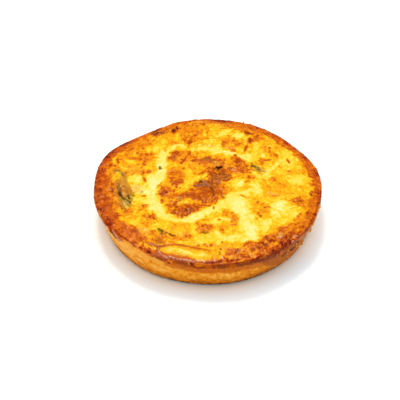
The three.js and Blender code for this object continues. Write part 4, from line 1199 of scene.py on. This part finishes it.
def strip(route, width, thick, lift, pointed, seed):
    """A flattened closed tube that lies on the custard along a route, with its middle a little sunk: its
    points and its faces. It is 0.5 pointed for round ends, and 1 for a leaf."""
    line = rounded(route, STRIP_STEPS + 2)
    tangent = np.gradient(line, axis=0)
    tangent /= np.hypot(*tangent.T)[:, None]
    side = np.stack([-tangent[:, 1], tangent[:, 0]], -1)[1:-1, None, :]
    share = np.linspace(0, 1, STRIP_STEPS + 2)
    half = 0.5 * width * np.clip(np.sin(math.pi * share), 0, 1) ** pointed
    half = (half * (1 + 0.25 * noise(share * 6, 0, 101 + seed)))[1:-1, None]
    turn = np.linspace(0, 2 * math.pi, STRIP_SIDES, endpoint=False)
    across, up = np.cos(turn), np.sin(turn)
    flat = line[1:-1, None, :] + side * (half * across)[..., None]
    height = top_at(flat[..., 0], flat[..., 1]) + lift
    height = height + 0.5 * thick * up * np.minimum(1, half / (0.3 * width))
    height = height + 0.1 * abs(across) + 0.12 * thick * noise(share[1:-1, None] * 9, across, 102 + seed)
    ends = np.column_stack([line[[0, -1]], top_at(*line[[0, -1]].T) + lift])
    rings = np.concatenate([flat, height[..., None]], -1).reshape(-1, 3)
    return np.concatenate([ends[:1], rings, ends[1:]]), tube_faces(STRIP_STEPS, STRIP_SIDES)


def lump(centre, size, seed, rows, sides, roughness):
    """An uneven ball about a centre, of a size in x, y and z: its points and faces."""
    pitch = math.pi * np.arange(1, rows + 1) / (rows + 1)
    turn = 2 * math.pi * np.arange(sides) / sides
    flat = np.sin(pitch)[:, None]
    ring = np.stack(np.broadcast_arrays(flat * np.cos(turn), flat * np.sin(turn), np.cos(pitch)[:, None]), -1)
    ball = np.concatenate([[[0, 0, 1]], ring.reshape(-1, 3), [[0, 0, -1]]])
    x, y, z = ball.T
    uneven = 1 + roughness * noise(1.7 * x + seed * 3.1, 1.7 * y + 1.3 * z, 110 + seed)
    return np.asarray(centre) + ball * uneven[:, None] * np.asarray(size) / 2, tube_faces(rows, sides)


# The leek, the same as the solid's: a ribbed cushion, half sunk in the custard.
LEEK = {
    "x": -43.8, "y": -8, "bearing": -78, "length": 21, "width": 9.5, "above": 1.3, "below": 1.9,
    "sunk": 0.3, "ribs": 4,
}


def add_leek(material):
    """The piece of leek, with a grain and with the strokes' ridges on its ribs. Where no stroke covers it, it
    has the custard's own tone, so that it blends in round its edge."""
    share, turn, quads, loop = disc_grid(LEEK_CELLS)
    along, across = share * np.cos(turn), share * np.sin(turn)
    full = np.sqrt(np.maximum(1 - along**2 * 0.85, 0))
    side = across * LEEK["width"] / 2 * mix(0.82, 1, 1 - abs(along))
    rib = 0.3 * np.cos(side / LEEK["width"] * 2 * math.pi * LEEK["ribs"] + along) * full
    bulge = np.sqrt(np.maximum(1 - share**2, 0))
    ahead, aside = along * LEEK["length"] / 2, side + 1.2 * along**2
    cos, sin = math.cos(LEEK["bearing"] * DEGREE), math.sin(LEEK["bearing"] * DEGREE)
    x, y = LEEK["x"] + ahead * cos - aside * sin, LEEK["y"] + ahead * sin + aside * cos
    middle = RIM_HEIGHT + CROWN - LEEK["sunk"]
    colour, rise = brushed(*sighted(x, y, middle + bulge * LEEK["above"]))
    looks = zip(("tone", "red", "smoky"), browning(x, y))
    grain = 0.10 * noise(aside / 0.5, ahead / 3, 131) + 0.10 * fractal(x / 1.3, y / 1.3, 132, 2)
    above = middle + bulge * (LEEK["above"] + 0.6 * rib * bulge + grain + rise)
    below = middle - 0.1 - bulge * LEEK["below"]
    points = np.concatenate([np.stack([x, y, above], -1), np.stack([x, y, below], -1)])
    underside = quads[:, ::-1] + len(x)
    faces = np.concatenate([quads, underside, ring_quads(loop, loop + len(x))]).tolist()
    fields = {"paint": np.tile(colour, (2, 1)), **{name: np.tile(values, 2) for name, values in looks}}
    make_piece("leek", points, faces, material, slot="leek", replaces="leek_piece", **fields)


# Herb leaves and stalks: places u, v along each, then width, thickness, lift and how pointed.
HERBS = [
    ([(-26.2, 15.2), (-26, 13.8), (-25.9, 12.4)], 1.3, 0.5, 0.05, 0.7),
    ([(24.0, 17.6), (24.6, 15.8), (26, 15), (27.4, 13.4), (28, 11.6), (28.4, 10.2)], 2.0, 0.6, 0.1, 0.7),
    ([(28.4, 13.4), (29.8, 12), (31.4, 10.6)], 1.5, 0.4, 0.1, 0.7),
    ([(-25.4, -35.4), (-24.4, -36.8), (-23.4, -38.4), (-23.4, -39.6)], 2.2, 0.5, 0.15, 0.8),
    ([(-19.8, -39), (-18.9, -40.3), (-16.8, -41.4)], 0.9, 0.5, 0.1, 0.5),
    ([(-4, -38.8), (-2, -38.4), (0.2, -38.9)], 1.8, 0.4, 0.05, 0.8),
    ([(-4, 2.8), (-3.7, 1.4)], 1.6, 0.6, 0.1, 0.6),
    ([(-15.5, -12), (-14.6, -14.2)], 1.3, 0.5, 0.1, 0.7),
]
# The charred lump in the middle, with the browned pieces round it, in the same way.
MUSHROOM = [
    ([(4.9, 13.7), (6.3, 14.3), (7.7, 14.9)], 2.6, 1.3, 0.2, 0.5),
    ([(2.9, 12.7), (3.8, 13.3), (5.0, 13.9)], 1.1, 0.7, 0.15, 0.6),
    ([(7.4, 19.4), (6.4, 17.7)], 1.5, 0.6, 0.05, 0.6),
    ([(3.5, 19.6), (4.3, 18.1), (5.3, 16.9)], 1.8, 0.6, 0.1, 0.6),
    ([(2.5, 3.4), (2.1, 1), (2.2, -1.4)], 0.9, 0.6, 0.1, 0.5),
    ([(1.2, -2.4), (2.2, -4.2), (3, -6), (2.8, -8), (2.9, -10)], 0.8, 0.5, 0.1, 0.5),
    ([(6.5, 9.4), (6.4, 8.2)], 0.9, 0.6, 0.1, 0.6),
]


def add_strips(name, strips, first_seed, slot, material):
    """Strips that lie on the custard, in the colours that the strokes give them."""
    pile = Pile()
    for number, (route, *sizes) in enumerate(strips):
        points, faces = strip(np.stack(point_at(*np.array(route).T), -1), *sizes, first_seed + number)
        colour, _ = brushed(*sighted(*points.T))
        tone, red, smoky = browning(points[:, 0], points[:, 1])
        pile.add(points, faces, tone=tone, red=red, smoky=smoky, paint=colour)
    pile.make(name, material, slot=slot)


# Grains of ground pepper that the eye picks out: places u, v and size. Then finer ones lie scattered: how
# many, how far out, and from what size to what size.
PEPPER = [(26.2, -14.8, 1.3), (29.8, -19.4, 0.9), (27, -26.2, 0.9), (6.2, -51, 1.0), (0.5, 41, 1.0),
          (8, -30, 0.8)]
FINE_PEPPER = 26
PEPPER_REACH = 54
FINE_PEPPER_SIZES = (0.35, 0.6)
RANDOM_SEED = 7


def add_pepper():
    draw = np.random.default_rng(RANDOM_SEED)
    grains = [(*point_at(u, v), size) for u, v, size in PEPPER]
    for _ in range(FINE_PEPPER):
        radius, theta = PEPPER_REACH * math.sqrt(draw.random()), 2 * math.pi * draw.random()
        grains.append((radius * math.cos(theta), radius * math.sin(theta), draw.uniform(*FINE_PEPPER_SIZES)))
    pepper = Pile()
    for number, (x, y, size) in enumerate(grains):
        z = float(top_at([x], [y])[0])
        shape = size * np.array([1, 0.8, 0.6]) * draw.uniform(0.8, 1.2, 3)
        points, faces = lump((x, y, z + 0.1 * size), shape, number, rows=3, sides=7, roughness=0.5)
        pepper.add(points, faces, shade=np.full(len(points), draw.uniform(0, 1)))
    pepper.make("pepper", pepper_material(), slot="custard")


# Crumbs of pastry that stand out from the wall: bearing, height, size, and how tall for its width.
CRUMBS = [
    (-15, 18.2, 1.3, 1.4), (-15, 9.5, 1.1, 1), (-21, 5, 1.3, 1), (-27, 17, 1.2, 2.2), (-29, 14.5, 1.3, 2.4),
    (-31, 11.6, 1.4, 1.7), (-32.5, 8.2, 1.5, 2.4), (-34, 5.4, 1.1, 1.3), (-159, 5.5, 1.2, 1),
    (-119, 13, 1.0, 1), (66, 19.2, 1.6, 1), (70, 19.6, 1.3, 1), (-148, 16.5, 1.2, 2.6), (-141, 17.8, 0.9, 1),
]
# Finer ones, two in three of them about the front right: how many, that bearing and its spread, the heights
# and the sizes.
FINE_CRUMBS = 90
CRUMBLY = (-45, 38)
FINE_CRUMB_HEIGHTS = (3, 18)
FINE_CRUMB_SIZES = (0.4, 0.9)


def add_crumbs():
    draw = np.random.default_rng(RANDOM_SEED)
    spots = list(CRUMBS)
    for number in range(FINE_CRUMBS):
        bearing = draw.normal(*CRUMBLY) if number % 3 else draw.uniform(-180, 180)
        spots.append((bearing, draw.uniform(*FINE_CRUMB_HEIGHTS), draw.uniform(*FINE_CRUMB_SIZES), 1))
    crumbs = Pile()
    for number, (bearing, z, size, tall) in enumerate(spots):
        theta = bearing * DEGREE
        skin = GAP + SKIN if z > run_edge(theta) else 0
        radius = float(pastry_outer(theta, z)) + skin + 0.15 * size
        place = (radius * math.cos(theta), radius * math.sin(theta), z)
        shape = size * np.array([1, 1, tall]) * draw.uniform(0.7, 1.1, 3)
        points, faces = lump(place, shape, 30 + number, rows=4, sides=8, roughness=0.4)
        crumbs.add(points, faces, shade=np.full(len(points), draw.uniform(0.1, 0.6)))
    crumbs.make("pastry_crumbs", pastry_material("crumb_pastry", "shade", stained=False), slot="pastry")


# ---- Materials ----


class Material:
    """A node material on one Principled BSDF, built by small helpers."""

    def __init__(self, name, **sockets):
        self.material = bpy.data.materials.new(name)
        self.material.use_nodes = True
        self.tree = self.material.node_tree
        self.shader = self.tree.nodes["Principled BSDF"]
        self.coordinates = self.node("TexCoord").outputs["Object"]
        for socket, value in sockets.items():
            self.shader.inputs[socket.replace("_", " ")].default_value = value

    def node(self, kind, links=(), values=(), **settings):
        """A new node with its own settings, and with what is linked to its inputs, and their values, in pairs
        of an input's name or number and what it gets."""
        node = self.tree.nodes.new("ShaderNode" + kind)
        for name, value in settings.items():
            setattr(node, name, value)
        for socket, value in values:
            node.inputs[socket].default_value = value
        for socket, output in links:
            self.tree.links.new(output, node.inputs[socket])
        return node

    def attribute(self, name, output="Fac"):
        return self.node("Attribute", attribute_name=name).outputs[output]

    def noise(self, size, detail=3.0, roughness=0.6):
        """Noise from 0 to 1 with features about size millimetres across."""
        values = [("Scale", 1 / (size * MM)), ("Detail", detail), ("Roughness", roughness)]
        return self.node("TexNoise", [("Vector", self.coordinates)], values).outputs["Fac"]

    def add(self, output, other, scale):
        """output + scale * (other - 0.5)"""
        shifted = self.node("Math", [(0, other)], [(1, 0.5)], operation="SUBTRACT").outputs[0]
        links = [(0, shifted), (2, output)]
        return self.node("Math", links, [(1, scale)], operation="MULTIPLY_ADD").outputs[0]

    def map(self, output, low, high, to_low, to_high):
        """A value from low to high brought to the range from to_low to to_high."""
        values = enumerate((low, high, to_low, to_high), start=1)
        return self.node("MapRange", [(0, output)], values).outputs[0]

    def ramp(self, output, stops, light=TOP_LIGHT):
        """A colour for each value: stops are (position, sRGB colour of 0 to 255 as it shows in the light)."""
        node = self.node("ValToRGB", [("Fac", output)])
        elements = node.color_ramp.elements
        for element, (position, colour) in zip(elements, (stops[0], stops[-1])):
            element.position, element.color = position, shown(colour, light)
        for position, colour in stops[1:-1]:
            elements.new(position).color = shown(colour, light)
        return node.outputs["Color"]

    def blend(self, share, a, b):
        node = self.node("Mix", [("Factor", share)], data_type="RGBA")
        for socket, colour in zip([socket for socket in node.inputs if socket.type == "RGBA"], (a, b)):
            self.tree.links.new(colour, socket)
        return next(socket for socket in node.outputs if socket.type == "RGBA")

    def painted(self, noise, low, high):
        """The painted colour, which is kept times its cover, from low to high times itself by noise, and the
        cover."""
        colour, cover = self.attribute("paint", "Color"), self.attribute("paint", "Alpha")
        full = self.node("VectorMath", [(0, colour), (1, cover)], operation="DIVIDE").outputs[0]
        links = [(0, full), ("Scale", self.map(noise, 0.3, 0.7, low, high))]
        return self.node("VectorMath", links, operation="SCALE").outputs[0], cover

    def set(self, socket, output):
        self.tree.links.new(output, self.shader.inputs[socket])

    def bump(self, output, depth, strength):
        """Bump of a depth in millimetres."""
        values = [("Distance", depth * MM), ("Strength", strength)]
        self.set("Normal", self.node("Bump", [("Height", output)], values).outputs["Normal"])


WARM_GLOSS = (1.0, 0.72, 0.35, 1.0)  # the tint of highlights on buttery things
GLAZE = {"Coat_Weight": 0.18, "Coat_Roughness": 0.18}  # the shine of melted butter and cheese

# The colours of the custard as they show, by its tone: as it is, where it is red, and where it is smoky.
GOLDEN = [
    (0.00, (255, 247, 168)), (0.10, (255, 235, 112)), (0.20, (255, 221, 58)), (0.30, (255, 202, 10)),
    (0.40, (255, 184, 0)), (0.50, (252, 163, 0)), (0.60, (238, 139, 0)), (0.70, (218, 113, 0)),
    (0.80, (194, 90, 2)), (0.90, (156, 64, 4)), (1.00, (56, 22, 4)),
]
RUSTY = [
    (0.00, (255, 238, 150)), (0.30, (255, 194, 30)), (0.40, (254, 170, 6)), (0.50, (250, 148, 2)),
    (0.60, (238, 124, 2)), (0.70, (218, 97, 4)), (0.80, (194, 72, 8)), (0.90, (148, 44, 6)),
    (1.00, (60, 14, 4)),
]
SMOKED = [
    (0.00, (250, 225, 140)), (0.30, (238, 180, 74)), (0.50, (210, 136, 48)), (0.70, (172, 94, 34)),
    (0.85, (124, 58, 22)), (1.00, (44, 16, 8)),
]
# The pastry's colours by how dark it shows, from baking and from painted shade, and the pepper's.
BAKED = [
    (0.00, (255, 205, 112)), (0.18, (254, 184, 78)), (0.32, (246, 157, 32)), (0.48, (226, 131, 12)),
    (0.62, (200, 112, 12)), (0.76, (160, 84, 10)), (0.90, (104, 38, 12)), (1.00, (52, 18, 8)),
]
PEPPERY = [(0.00, (44, 28, 14)), (1.00, (116, 82, 36))]
# The floor's colours from its middle outwards, as shares of a reach in millimetres: painted bounce light,
# warm close to the quiche, then cooler and darker further out, which draws out the shadow's soft edge.
FLOOR_REACH = 100
FLOOR_WITH_PAINTED_BOUNCE = [
    (0.56, (243, 238, 222)), (0.58, (241, 244, 235)), (0.61, (234, 243, 244)), (0.67, (227, 238, 243)),
    (0.71, (224, 232, 236)), (0.80, (226, 233, 236)),
]


def custard_material(name, shine, **glaze):
    m = Material(name, Specular_IOR_Level=shine, Specular_Tint=WARM_GLOSS, **glaze)
    tone = m.add(m.attribute("tone"), m.noise(1.1, 3, 0.7), 0.36)
    browned = m.blend(m.attribute("red"), m.ramp(tone, GOLDEN), m.ramp(tone, RUSTY))
    bare = m.blend(m.attribute("smoky"), browned, m.ramp(tone, SMOKED))
    painted, cover = m.painted(m.noise(0.9), 0.75, 1.25)
    m.set("Base Color", m.blend(cover, bare, painted))
    m.set("Roughness", m.add(m.map(m.attribute("tone"), 0.3, 0.8, 0.5, 0.3), m.noise(1.6), 0.4))
    m.bump(m.noise(0.8, 4), 0.4, 0.7)
    return m.material


def pastry_material(name, field, stained):
    """Baked pastry, as dark as a field says. Stained pastry has the strokes' colours too."""
    m = Material(name, Specular_IOR_Level=0.12, Specular_Tint=WARM_GLOSS, Roughness=0.6)
    colour = m.ramp(m.add(m.attribute(field), m.noise(0.9, 4, 0.7), 0.5), BAKED, WALL_LIGHT)
    if stained:
        painted, cover = m.painted(m.noise(0.9), 0.85, 1.15)
        colour = m.blend(cover, colour, painted)
    m.set("Base Color", colour)
    m.bump(m.noise(0.6, 4), 0.4, 0.8)
    return m.material


def pepper_material():
    m = Material("ground_pepper", Specular_IOR_Level=0.4, Roughness=0.6)
    m.set("Base Color", m.ramp(m.attribute("shade"), PEPPERY))
    return m.material


def floor_material():
    """White, with painted light: warmer close to the quiche as its bounce light, then cooler to take out the
    pink of that bounce, and a darker grey further away that lengthens the shadow's soft edge.
    """
    m = Material("floor_with_painted_bounce", Roughness=0.9)
    away = m.node("VectorMath", [(0, m.coordinates)], operation="LENGTH").outputs["Value"]
    m.set("Base Color", m.ramp(m.map(away, 0, FLOOR_REACH * MM, 0, 1), FLOOR_WITH_PAINTED_BOUNCE, light=1))
    return m.material


# ---- The quiche ----

custard = custard_material("baked_custard", 0.12, **GLAZE)
points, faces, top_faces, fields = custard_mesh()
piece = make_piece("custard", points, faces, custard, replaces="custard_filling", slot="custard", **fields)
# Outside the rim the skin is the same, but dull.
dull = custard_material("dull_custard_skin", 0.04)
piece.data.materials.append(dull)
piece.data.polygons.foreach_set("material_index", (np.arange(len(faces)) >= top_faces).astype(np.int32))
points, faces, fields = case_mesh()
pastry = pastry_material("shortcrust_pastry", "bake_and_shade", stained=True)
make_piece("pastry", points, faces, pastry, replaces="pastry_case", slot="pastry", **fields)
add_leek(custard)
add_strips("herbs", HERBS, 40, "leek", dull)
add_strips("browned_mushroom", MUSHROOM, 60, "custard", dull)
add_pepper()
add_crumbs()

# ---- Stage ----

# The camera stands at CAMERA. Its tilt up from straight down is in degrees, its lens and sensor in
# millimetres, and what is nearer than NEAREST metres isn't drawn.
CAMERA_TILT = 49.78
LENS = 85
SENSOR = 36
NEAREST = 0.01
FLOOR_RADIUS = 3  # metres
WORLD_STRENGTH = 0.8
# A wide soft light overhead, and a small warm one for the glints: name, place, its two sizes in metres,
# watts, colour, and whether it shows in glossy surfaces.
LAMPS = [
    ("overhead", (-0.01, 0.06, 0.8), (1.6, 0.8), 6.6, (1, 1, 1), False),
    ("glints", (-0.08, 0.25, 0.85), (0.2, 0.2), 3.4, (1, 0.86, 0.66), True),
]


def place_camera(scene):
    camera = bpy.data.objects.new("camera", bpy.data.cameras.new("camera"))
    camera.data.lens = LENS
    camera.data.sensor_width = SENSOR
    camera.data.clip_start = NEAREST
    camera.location = [(along + shift) * MM for along, shift in zip(CAMERA, (*SHIFT, 0))]
    camera.rotation_euler = (math.radians(CAMERA_TILT), 0, 0)
    scene.collection.objects.link(camera)
    bpy.context.scene.camera = camera


def lay_floor():
    bpy.ops.mesh.primitive_circle_add(vertices=96, radius=FLOOR_RADIUS, fill_type="NGON")
    floor = bpy.context.object
    floor.name = "floor"
    floor.data.materials.append(floor_material())


def light_up(scene):
    """White light from all round, which glossy surfaces don't show, and the lamps."""
    scene.world = bpy.data.worlds.new("studio")
    scene.world.use_nodes = True
    background = scene.world.node_tree.nodes["Background"]
    background.inputs["Color"].default_value = (1, 1, 1, 1)
    background.inputs["Strength"].default_value = WORLD_STRENGTH
    scene.world.cycles_visibility.glossy = False
    for name, place, sizes, watts, colour, shines in LAMPS:
        light = bpy.data.lights.new(name, "AREA")
        light.shape = "RECTANGLE"
        light.size, light.size_y = sizes
        light.energy = watts
        light.color = colour
        lamp = bpy.data.objects.new(name, light)
        lamp.visible_glossy = shines
        lamp.location = place
        lamp.rotation_euler = (-Vector(place)).to_track_quat("-Z", "Y").to_euler()
        scene.collection.objects.link(lamp)
    scene.view_settings.view_transform = "Standard"


place_camera(bpy.context.scene)
lay_floor()
light_up(bpy.context.scene)
